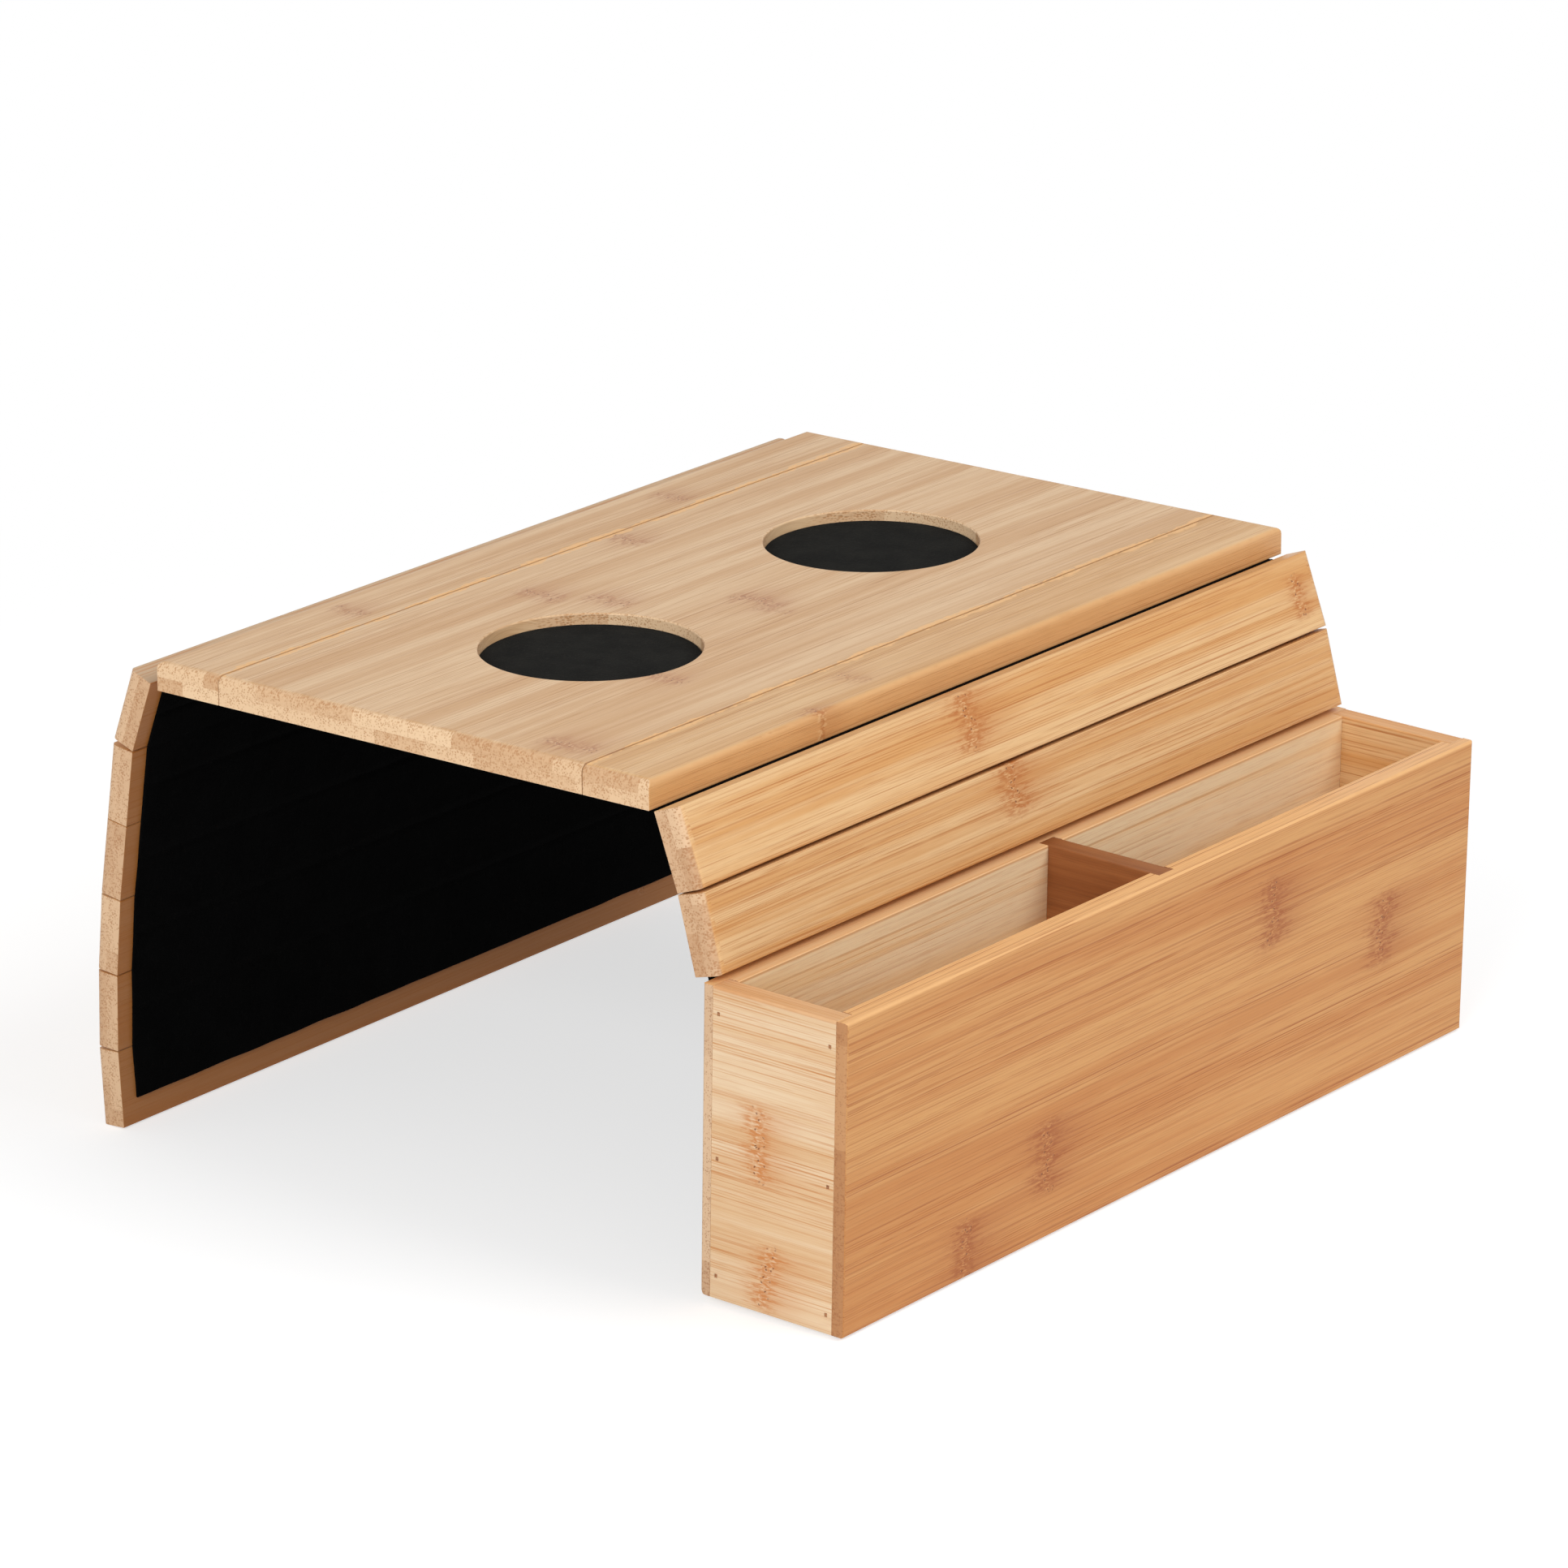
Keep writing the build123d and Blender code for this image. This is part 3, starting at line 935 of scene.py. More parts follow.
    def board(self, name: str, tree: BoardTree, material: bpy.types.Material, side: Side,
              sizes: dict) -> bpy.types.Object:
        """Build one board of the mat with the board tree.

        Args:
            name: The piece's name.
            tree: The board tree.
            material: Its bamboo.
            side: Which side it folds to.
            sizes: The tree's inputs that differ from the mat's usual ones.

        Returns:
            The piece, as a plain mesh.
        """
        usual = {"Width": self.slat_width, "Length": self.length,
                 "Thickness": self.wood_thickness, "End Round": self.end_round,
                 "Inner Round": self.edge_round, "Outer Round": self.edge_round,
                 "Under Round": self.under_round, "Chip Depth": self.chip_depth,
                 "Side": float(side), "Lift": self.wood_underside, "Turn": 0.0, "Hinge X": 0.0,
                 "Hinge Z": 0.0, "Columns": self.slat_columns, "Rows": self.slat_rows,
                 "Material": material}
        return grown(linked(name, bpy.data.meshes.new(name)), tree.tree, {**usual, **sizes})

    def board_axes(self, side: Side, hinge: Vector, turn: float, start: float) -> Matrix:
        """Give what takes a point of the frame to a board's own axes.

        Args:
            side: The side of the tray.
            hinge: The hinge line of the board.
            turn: How far it hangs from flat.
            start: Where its wood begins, from the hinge line.

        Returns:
            A matrix to along, across from the wood's start, and up from its glued face.
        """
        outward = Vector((side * math.cos(turn), 0.0, -math.sin(turn)))
        upward = Vector((side * math.sin(turn), 0.0, math.cos(turn)))
        corner = hinge + outward * start + upward * self.wood_underside
        turned = Matrix(((0.0, 1.0, 0.0), outward, upward)).to_4x4()
        return turned @ Matrix.Translation(-corner)

    def build_slats(self, side: Side, tree: BoardTree, materials: dict) -> None:
        """Build the edge slat and the hanging slats of one side.

        Args:
            side: The side of the tray.
            tree: The board tree.
            materials: The bamboo of each board, by its node.
        """
        hinges = self.hinges(side)
        name = side.name.lower()
        turn = 0.0
        for number, hinge in enumerate(hinges[:self.slat_counts[side] + 1]):
            line = self.at_rest(side, [inner.as_line() for inner in hinges[:number]],
                                hinge.flat_place, 0.0)
            turn += hinge.fold
            start = self.slat_start(number) - hinge.flat_place
            sizes = {"Start": start, "Turn": turn, "Hinge X": line.x, "Hinge Z": line.z,
                     "Chip Seed": self.chip_seed_step * number
                     + self.right_chip_seed * (side == Side.RIGHT)}
            if number == 0:
                node, slot = f"{name}_edge_slat", "bamboo_top"
                sizes["Outer Round"] = self.shoulder_round
            else:
                node, slot = f"{name}_slat_{number}", "bamboo_slat"
                sizes["Chip Depth"] = self.hanging_chip_depth
            piece = self.board(f"{node}_bamboo", tree, materials[node], side, sizes)
            note_place(piece, self.board_axes(side, line, turn, start))
            hand_over(piece, hinge.outer_body, node)

    def cut_wobble(self, distance: float, seed: float) -> float:
        """Give how far the felt's hand-cut edge strays, in metres, at a distance along it."""
        spot = Vector((distance * self.cut_waves_per_metre, seed, 0.0))
        return self.cut_stray * noise.noise(spot)

    def felt_stations(self, hinges: list[MatHinge], start: float, stop: float,
                      cut_at_stop: bool) -> list[float]:
        """Give where the felt's points lie across the mat, crowded in each bend."""
        steps = max(self.felt_least_steps, int((stop - start) / self.felt_step))
        stations = set(np.linspace(start, stop, steps).tolist())
        for hinge in hinges:
            low, high = hinge.flat_place - hinge.bend_before, hinge.flat_place + hinge.bend_after
            if start < low and high < stop:
                stations.update(np.linspace(low, high, self.felt_bend_steps).tolist())
        if cut_at_stop:
            stations.update(stop - step for step in self.felt_edge_steps)
        return sorted(stations)

    def felt_stretch(self, name: str, side: Side, start: float, stop: float,
                     cut_at_stop: bool) -> bpy.types.Object:
        """Build the felt between two distances from the mat's middle, bent as it hangs.

        Args:
            name: The piece's name.
            side: The side of the tray.
            start: Where the stretch starts.
            stop: Where it stops.
            cut_at_stop: Whether the sheet's own cut edge lies at stop.

        Returns:
            The piece.
        """
        hinges = self.hinges(side)
        flats = self.felt_stations(hinges, start, stop, cut_at_stop)
        half = self.length / 2 - self.felt_end_inset
        rows = np.linspace(-half, half, self.felt_rows).tolist()
        rows = sorted(rows + [end * (half - step) for end in End for step in self.felt_edge_steps])
        soft = self.felt_soft_edge
        last = len(flats) - 1 - len(self.felt_edge_steps)
        points = []
        for face_up in (True, False):
            for y in rows:
                for column, flat in enumerate(flats):
                    edge = half - abs(y)
                    if cut_at_stop:
                        edge = min(edge, stop - flat)
                    eased = max(0.0, soft - edge)
                    inset = soft - math.sqrt(max(soft ** 2 - eased ** 2, 0.0))
                    rise = self.felt_thickness - inset if face_up else inset
                    wobble = self.cut_wobble(flat, self.end_cut_seed * side)
                    stray_y = y * (1 + wobble / half)
                    stray = flat
                    if cut_at_stop and column >= last:
                        stray = flat + self.cut_wobble(y, self.edge_cut_seed + side)
                    spot = self.at_rest(side, hinges, stray, rise)
                    points.append((spot.x, stray_y, spot.z))
        return linked(name, mesh_from(name, points, self.sheet_faces(len(rows), len(flats))))

    @staticmethod
    def sheet_faces(rows: int, columns: int) -> list[tuple[int, ...]]:
        """Join two grids of points, the upper one first, into one closed sheet.

        Args:
            rows: How many rows each grid has.
            columns: How many points each row has.

        Returns:
            The faces, by the numbers of their points.
        """
        faces, top = [], rows * columns
        for row in range(rows - 1):
            for column in range(columns - 1):
                a = row * columns + column
                faces.append((a, a + 1, a + columns + 1, a + columns))
                b = a + top
                faces.append((b, b + columns, b + columns + 1, b + 1))
        for row in range(rows - 1):
            for a in (row * columns, row * columns + columns - 1):
                faces.append((a, a + columns, a + columns + top, a + top))
        for column in range(columns - 1):
            for a in (column, column + top - columns):
                faces.append((a, a + 1, a + 1 + top, a + top))
        return faces

    def build_felt(self, side: Side, material: bpy.types.Material) -> None:
        """Build the felt of one side: one stretch across each hinge, from board to board.

        Args:
            side: The side of the tray.
            material: The felt.
        """
        hinges = self.hinges(side)
        name = side.name.lower()
        middles = [0.0] + [self.slat_start(i) + self.slat_width / 2
                           for i in range(self.slat_counts[side] + 1)]
        if side == Side.RIGHT:
            middles.append(self.last_edge(side) + self.box_gap + self.box_height
                           - self.felt_lower_inset)
        else:
            middles[-1] = self.last_edge(side) - self.felt_lower_inset
        nodes = {"centre": "centre_felt", f"{name}_edge": f"{name}_edge_felt", "box": "box_felt"}
        for hinge, start, stop in zip(hinges, middles, middles[1:]):
            piece = self.felt_stretch(f"{hinge.outer_body}_felt_sheet", side, start, stop,
                                      hinge is hinges[-1])
            piece.data.materials.append(material)
            low = self.at_rest(side, hinges, hinge.flat_place - hinge.bend_before, 0.0)
            high = self.at_rest(side, hinges, hinge.flat_place + hinge.bend_after, 0.0)
            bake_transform(piece)
            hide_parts(*(nodes.get(body, f"{name}_felt_{body[-1]}")
                                 for body in (hinge.inner_body, hinge.outer_body)))
            stop - start
            LOG.info("%s from %.4f to %.4f m", piece.name, start, stop)


def ring_points(centre: Vector, radius: float, height: float, steps: int) -> list[Vector]:
    """Give the points of a flat ring about an upright line."""
    turns = [2 * math.pi * step / steps for step in range(steps)]
    return [centre + Vector((radius * math.cos(turn), radius * math.sin(turn), height))
            for turn in turns]


def quarter_round(radius: float, height: float, aside: float, up: float, steps: int,
                  upright_end: bool) -> list[tuple[float, float]]:
    """Give a profile's radius and height round a quarter of a circle.

    Args:
        radius: The radius of the upright face that the round meets.
        height: The height of the flat face that it meets.
        aside: The reach of the round from that upright face.
        up: Its reach from that flat face.
        steps: How many steps it has.
        upright_end: Whether it ends at the upright face rather than starts there.

    Returns:
        The points in their order.
    """
    points = []
    for step in range(steps + 1):
        angle = math.radians(90 * step / steps)
        first, second = 1 - math.sin(angle), 1 - math.cos(angle)
        if not upright_end:
            first, second = second, first
        points.append((radius + aside * first, height + up * second))
    return points


@dataclass
class CupPlaces:
    """The two round recesses of the centre board and the felt discs on their floors."""

    diameter: float = 0.075
    depth: float = 0.0057
    spacing: float = 0.153
    rim_round: float = 0.0006
    floor_round: float = 0.0004
    floor_ring_shares: tuple[float, ...] = (0.9, 0.5)
    seam_margin: float = 0.003
    felt_thickness: float = 0.002
    felt_clearance: float = 0.0003
    felt_soft_edge: float = 0.0005
    under_ring_shares: tuple[float, ...] = (0.3, 0.6, 0.85)
    top_ring_shares: tuple[float, ...] = (0.95, 0.9, 0.8, 0.7, 0.6, 0.5, 0.4, 0.3, 0.2, 0.1)
    felt_swell: float = 0.00012
    swell_waves_per_metre: float = 45.0
    swell_seed: float = 3.0
    cut_stray: float = 0.0001
    cut_waves_per_metre: float = 120.0
    cut_seed: float = 5.0
    rim_from_share: float = 0.9
    steps: int = 180
    rim_steps: int = 6
    floor_steps: int = 4
    felt_edge_steps: int = 5

    def centre(self, end: End, height: float) -> Vector:
        """Give the middle of one recess at a height."""
        return Vector((0.0, end * self.spacing / 2, height))

    def cut(self, board: bpy.types.Object, board_top: float) -> None:
        """Cut both recesses into a board: open its top round each, and sew the recess in.

        Args:
            board: The board, as a plain mesh.
            board_top: The height of its top.
        """
        radius = self.diameter / 2
        profile = quarter_round(radius, 0.0, self.rim_round, -self.rim_round, self.rim_steps, True)
        profile += quarter_round(radius, -self.depth, -self.floor_round, self.floor_round,
                                 self.floor_steps, False)
        profile += [(radius * share, -self.depth) for share in self.floor_ring_shares]
        shape = bmesh.new()
        shape.from_mesh(board.data)
        for end in End:
            centre = self.centre(end, board_top)
            reach = radius + self.seam_margin
            gone = {face for face in shape.faces
                    if all(abs(vertex.co.z - board_top) < SAME_PLACE for vertex in face.verts)
                    and min((vertex.co - centre).length for vertex in face.verts) < reach}
            border = [edge for edge in shape.edges
                      if sum(face in gone for face in edge.link_faces) == 1]
            bmesh.ops.delete(shape, geom=list(gone), context="FACES")
            rings = [[shape.verts.new(point) for point in ring_points(centre, *spot, self.steps)]
                     for spot in profile]
            middle = shape.verts.new(centre - Vector((0.0, 0.0, self.depth)))
            rim = [shape.edges.new((rings[0][step - 1], rings[0][step]))
                   for step in range(self.steps)]
            bmesh.ops.triangle_fill(shape, edges=border + rim, use_beauty=True,
                                    normal=(0.0, 0.0, 1.0))
            for step in range(self.steps):
                for ring, below in zip(rings, rings[1:]):
                    shape.faces.new((ring[step - 1], ring[step], below[step], below[step - 1]))
                shape.faces.new((rings[-1][step - 1], rings[-1][step], middle))
        bmesh.ops.recalc_face_normals(shape, faces=shape.faces)
        shape.to_mesh(board.data)
        shape.free()

    def disc_mesh(self, name: str, radius: float, centre: Vector) -> bpy.types.Mesh:
        """Build one even felt disc, its underside at the centre's height.

        Args:
            name: The mesh's name.
            radius: The disc's radius.
            centre: The middle of its underside.

        Returns:
            The closed mesh.
        """
        thickness, soft = self.felt_thickness, self.felt_soft_edge
        profile = [(radius * share, 0.0) for share in self.under_ring_shares]
        profile += quarter_round(radius, 0.0, -soft, soft, self.felt_edge_steps, True)
        profile += quarter_round(radius, thickness, -soft, -soft, self.felt_edge_steps, False)
        profile += [(radius * share, thickness) for share in self.top_ring_shares]
        points, faces = [], []
        for spot in profile:
            points += ring_points(centre, *spot, self.steps)
        first, last = len(points), len(points) + 1
        points += [centre, centre + Vector((0.0, 0.0, thickness))]
        for step in range(self.steps):
            after = (step + 1) % self.steps
            faces.append((first, step, after))
            for base in range(0, first - self.steps, self.steps):
                above = base + self.steps
                faces.append((base + step, above + step, above + after, base + after))
            base = first - self.steps
            faces.append((last, base + after, base + step))
        return mesh_from(name, points, faces)

    @staticmethod
    def noise_at(place: Vector, waves_per_metre: float, seed: float) -> float:
        """Give an even noise at a place seen from above."""
        return noise.noise(Vector((place.x * waves_per_metre, place.y * waves_per_metre, seed)))

    def build_felts(self, board: bpy.types.Object, board_top: float,
                    material: bpy.types.Material) -> None:
        """Build the two felt discs, a little uneven as cut felt is.

        Args:
            board: The finished board; not used.
            board_top: The height of its top.
            material: The felt of the discs.
        """
        radius = self.diameter / 2 - self.felt_clearance
        for end in End:
            spot = self.centre(end, board_top - self.depth)
            name = f"cup_felt_{end.name.lower()}"
            piece = linked(f"{name}_disc", self.disc_mesh(name, radius, spot))
            for vertex in piece.data.vertices:
                rise = vertex.co.z - spot.z
                wave = self.noise_at(vertex.co, self.swell_waves_per_metre,
                                     self.swell_seed * end)
                vertex.co.z += self.felt_swell * wave * rise / self.felt_thickness
                away = vertex.co - Vector((spot.x, spot.y, vertex.co.z))
                stray = self.noise_at(vertex.co, self.cut_waves_per_metre, self.cut_seed)
                if away.length > radius * self.rim_from_share:
                    vertex.co += away.normalized() * (self.cut_stray * stray)
            piece.data.materials.append(material)
            hand_over(piece, "centre", name)


@dataclass
class CentreBoard:
    """The board that lies on the arm, with its two cup recesses."""

    mat: FoldingMat
    cups: CupPlaces = field(default_factory=CupPlaces)
    columns: int = 70
    chip_seed: float = 90.0

    def build(self, tree: BoardTree, material: bpy.types.Material,
              cup_felt: bpy.types.Material) -> None:
        """Build the board and the felt discs in it.

        Args:
            tree: The board tree.
            material: The board's bamboo.
            cup_felt: The felt of the discs.
        """
        mat = self.mat
        start = -mat.centre_width / 2
        sizes = {"Width": mat.centre_width, "Start": start, "Columns": self.columns,
                 "Chip Seed": self.chip_seed}
        piece = mat.board("centre_board_bamboo", tree, material, Side.RIGHT, sizes)
        self.cups.cut(piece, mat.board_top)
        with_even_faces(piece, material)
        note_place(piece, mat.board_axes(Side.RIGHT, Vector((start, 0.0, 0.0)), 0.0, 0.0))
        hand_over(piece, "centre", "centre_board")
        self.cups.build_felts(piece, mat.board_top, cup_felt)


@dataclass(frozen=True)
class Block:
    """A block of the upright box, between its lowest and highest faces in X, Y and Z."""

    x: tuple[float, float]
    y: tuple[float, float]
    z: tuple[float, float]

    def add_to(self, shape: bmesh.types.BMesh) -> None:
        """Add the block's corners and faces to a shape."""
        corners = [shape.verts.new((x, y, z)) for x in self.x for y in self.y for z in self.z]
        for face in BLOCK_FACES:
            shape.faces.new([corners[number] for number in face])


def between(first: float, second: float) -> tuple[float, float]:
    """Give the lower and the higher of two places."""
    return min(first, second), max(first, second)


@dataclass
class OrganizerBox:
    """The box at the right: long boards, ends, divider, bottom and brads."""

    mat: FoldingMat
    depth: float = 0.057
    length: float = 0.354
    board: float = 0.008
    lip: float = 0.004
    divider_housing: float = 0.004
    bottom_thickness: float = 0.005
    bottom_groove: float = 0.004
    bottom_lift: float = 0.009
    glue: float = 0.00005
    cut_overrun: float = 0.001
    corner_round: float = 0.0012
    rim_round: float = 0.0010
    back_rim_round: float = 0.0003
    seam_round: float = 0.00008
    inner_round: float = 0.0005
    foot_round: float = 0.0035
    plain_round: float = 0.0003
    round_segments: int = 5
    brad_width: float = 0.00125
    brad_thickness: float = 0.001
    brad_length: float = 0.020
    brad_sink: float = 0.0001
    brad_clearance: float = 0.00005
    brad_edge: float = 0.0064
    brad_rim: float = 0.009
    back_foot_brad: float = 0.0079
    front_foot_brad: float = 0.0065
    back_middle_share: float = 0.55
    front_middle_share: float = 0.52

    @property
    def height(self) -> float:
        """How high the box is."""
        return self.mat.box_height

    @property
    def inner_bottom(self) -> float:
        """How high the box's floor lies."""
        return self.bottom_lift + self.bottom_thickness

    @property
    def to_frame(self) -> Matrix:
        """What takes a point of the upright box to where the box hangs."""
        hinges = [hinge.as_line() for hinge in self.mat.hinges(Side.RIGHT)]
        foot = self.mat.last_edge(Side.RIGHT) + self.mat.box_gap + self.height
        low = self.mat.wood_underside
        corner = self.mat.at_rest(Side.RIGHT, hinges, foot, low)
        forward = (self.mat.at_rest(Side.RIGHT, hinges, foot, low + self.depth)
                   - corner).normalized()
        along = Vector((0.0, 1.0, 0.0))
        columns = Matrix((forward, along, forward.cross(along))).transposed()
        return Matrix.Translation(corner) @ columns.to_4x4()

    def shape(self, name: str, block: Block, rounds: dict, cuts: list[Block],
              material: bpy.types.Material) -> bpy.types.Object:
        """Shape one board of the box: round its edges, then cut its joints.

        Args:
            name: The piece's name.
            block: The board before it is worked.
            rounds: The radius of an edge by its two fixed coordinates, such as ("x0", "z1")
                for the one at the least X and the greatest Z. The rest get the plain one.
            cuts: The blocks that are taken out of it.
            material: Its bamboo.

        Returns:
            The piece, as a plain mesh where it hangs.
        """
        shape = bmesh.new()
        block.add_to(shape)
        widest = max([self.plain_round, *rounds.values()])
        weights = shape.edges.layers.float.new("bevel_weight_edge")
        limits = {"x": block.x, "y": block.y, "z": block.z}
        for edge in shape.edges:
            fixed = []
            for number, axis in enumerate("xyz"):
                first, second = edge.verts[0].co[number], edge.verts[1].co[number]
                if abs(first - second) < SAME_PLACE:
                    fixed.append(f"{axis}{int(first > sum(limits[axis]) / 2)}")
            edge[weights] = rounds.get(tuple(fixed), self.plain_round) / widest
        piece = self.piece_of(name, shape, material)
        bevel = piece.modifiers.new("rounds", "BEVEL")
        bevel.limit_method = "WEIGHT"
        bevel.width = widest
        bevel.segments = self.round_segments
        bevel.use_clamp_overlap = False
        if cuts:
            cutter = self.piece_of("joint_cuts", bmesh.new(), material, cuts)
            cut = piece.modifiers.new("joints", "BOOLEAN")
            cut.object = cutter
            cut.operation = "DIFFERENCE"
            cut.solver = "EXACT"
        evaluated(piece)
        if cuts:
            bpy.data.objects.remove(cutter)
        piece.data.transform(self.to_frame)
        return with_even_faces(piece, material)

    @staticmethod
    def piece_of(name: str, shape: bmesh.types.BMesh, material: bpy.types.Material,
                 blocks: list[Block] | tuple = ()) -> bpy.types.Object:
        """Turn a shape and further blocks into a piece, its faces pointing outwards.

        Args:
            name: The piece's name.
            shape: The shape, which is used up.
            material: Its bamboo.
            blocks: The blocks to add to it first.

        Returns:
            The piece.
        """
        for block in blocks:
            block.add_to(shape)
        bmesh.ops.recalc_face_normals(shape, faces=shape.faces)
        mesh = bpy.data.meshes.new(name)
        shape.to_mesh(mesh)
        shape.free()
        mesh.materials.append(material)
        return linked(name, mesh)

    def brad_spots(self, end: End) -> list[Vector]:
        """Give the middle of each brad at one end, in the upright box."""
        spots = []
        along = end * (self.length / 2 - self.brad_sink - self.brad_length / 2)
        highest = self.height - self.brad_rim
        rows = ((self.brad_edge, self.back_foot_brad, self.back_middle_share),
                (self.depth - self.brad_edge, self.front_foot_brad, self.front_middle_share))
        for across, lowest, share in rows:
            for height in (highest, highest - share * (highest - lowest), lowest):
                spots.append(Vector((across, along, height)))
        return spots

    def slots(self, end: End) -> list[Block]:
        """Give the slots of one end's brads."""
        half = (self.brad_thickness / 2 + self.brad_clearance,
                self.brad_length / 2 + self.brad_sink + self.brad_clearance,
                self.brad_width / 2 + self.brad_clearance)
        return [Block(*((spot[i] - half[i], spot[i] + half[i]) for i in range(3)))
                for spot in self.brad_spots(end)]

    def finish_piece(self, piece: bpy.types.Object, node: str, rows: tuple,
                     start: Vector) -> None:
        """Note the places on one board, and say what it stands for.

        Args:
            piece: The finished board.
            node: The node that it replaces.
            rows: The board's own three axes in the upright box.
            start: Where its places start there.
        """
        axes = Matrix(rows).to_4x4() @ Matrix.Translation(-start)
        note_place(piece, axes @ self.to_frame.inverted())
        hand_over(piece, "box", node)

    def build_long_boards(self, materials: dict) -> None:
        """Build the back and the front of the box.

        Args:
            materials: The bamboo of each board, by its node.
        """
        half, past = self.length / 2, self.cut_overrun
        seat = self.board + self.glue
        half_divider = self.board / 2 + self.glue
        for node, outer, inward in (("box_back_board", 0.0, 1),
                                    ("box_front_board", self.depth, -1)):
            inner = outer + inward * self.board
            block = Block(between(outer, inner), (-half, half), (0.0, self.height))
            face, inside = ("x0", "x1") if inward > 0 else ("x1", "x0")
            rounds = {(face, "y0"): self.corner_round, (face, "y1"): self.corner_round,
                      (face, "z1"): self.rim_round, (inside, "z1"): self.inner_round}
            if inward > 0:
                rounds[(face, "z0")] = self.foot_round
                rounds[(face, "z1")] = self.back_rim_round
            rebate = between(inner - inward * (self.board - self.lip), inner + inward * past)
            housing = between(inner - inward * self.divider_housing, inner + inward * past)
            full = (-past, self.height + past)
            cuts = [Block(rebate, (-half - past, -half + seat), full),
                    Block(rebate, (half - seat, half + past), full),
                    Block(housing, (-half_divider, half_divider),
                          (self.inner_bottom, self.height + past))]
            piece = self.shape(f"{node}_bamboo", block, rounds, cuts, materials[node])
            self.finish_piece(piece, node, ((0, 1, 0), (0, 0, -1), (inward, 0, 0)),
                              Vector((outer, 0.0, self.height)))

    def build_ends(self, materials: dict) -> None:
        """Build the two ends of the box, which stand between the lips of the long boards.

        Args:
            materials: The bamboo of each board, by its node.
        """
        seat = self.lip + self.glue
        for end in End:
            node = f"box_{end.name.lower()}_side"
            outer = end * self.length / 2
            block = Block((seat, self.depth - seat), between(outer, outer - end * self.board),
                          (0.0, self.height))
            face, inside = ("y0", "y1") if end == End.NEAR else ("y1", "y0")
            rounds = {(face, "z1"): self.rim_round, (inside, "z1"): self.inner_round,
                      ("x0", face): self.seam_round, ("x1", face): self.seam_round}
            piece = self.shape(f"{node}_bamboo", block, rounds, self.slots(end), materials[node])
            self.finish_piece(piece, node, ((1, 0, 0), (0, 0, -1), (0, -end, 0)),
                              Vector((0.0, outer, self.height)))

    def build_inside(self, materials: dict) -> None:
        """Build the divider and the bottom panel.

        Args:
            materials: The bamboo of each board, by its node.
        """
        edge = self.board - self.divider_housing + self.glue
        block = Block((edge, self.depth - edge), (-self.board / 2, self.board / 2),
                      (self.inner_bottom + self.glue, self.height))
        rounds = {("y0", "z1"): self.inner_round, ("y1", "z1"): self.inner_round}
        piece = self.shape("box_divider_bamboo", block, rounds, [], materials["box_divider"])
        self.finish_piece(piece, "box_divider", ((1, 0, 0), (0, 0, -1), (0, 1, 0)),
                          Vector((0.0, -self.board / 2, self.height)))
        edge = self.board - self.bottom_groove + self.glue
        half = self.length / 2 - edge
        block = Block((edge, self.depth - edge), (-half, half),
                      (self.bottom_lift + self.glue / 2, self.inner_bottom - self.glue / 2))
        piece = self.shape("box_bottom_bamboo", block, {}, [], materials["box_bottom"])
        self.finish_piece(piece, "box_bottom", ((0, 1, 0), (1, 0, 0), (0, 0, 1)), Vector())

    @staticmethod
    def brad_tree() -> bpy.types.NodeTree:
        """Build the geometry tree that lays one brad at each point of a mesh."""
        wiring, given = new_group(
            "brads", "Geometry", ("Points", "Thickness", "Length", "Width", "Tilt", "Material"),
            ("Geometry",))
        brad = wiring.value("GeometryNodeMeshCube", {"Size": wiring.combine(
            given["Thickness"], given["Length"], given["Width"])}, "Mesh")
        laid = wiring.value("GeometryNodeInstanceOnPoints", {
            "Points": given["Points"], "Instance": brad,
            "Rotation": wiring.combine(0.0, given["Tilt"], 0.0)})
        return wiring.close_mesh(laid, given["Material"])

    def build_brads(self, steel: bpy.types.Material) -> None:
        """Build the brads of both ends with the brad tree."""
        tree = self.brad_tree()
        to_frame = self.to_frame
        values = {"Thickness": self.brad_thickness, "Length": self.brad_length,
                  "Width": self.brad_width, "Material": steel,
                  "Tilt": math.atan2(-to_frame[2][0], to_frame[0][0])}
        for end in End:
            node = f"box_{end.name.lower()}_brads"
            mesh = bpy.data.meshes.new(node)
            mesh.from_pydata([to_frame @ spot for spot in self.brad_spots(end)], [], [])
            piece = grown(linked(f"{node}_steel", mesh), tree, values)
            hand_over(piece, "box", node)

    def build(self, materials: dict, steel: bpy.types.Material) -> None:
        """Build every piece of the box."""
        self.build_long_boards(materials)
        self.build_ends(materials)
        self.build_inside(materials)
        self.build_brads(steel)


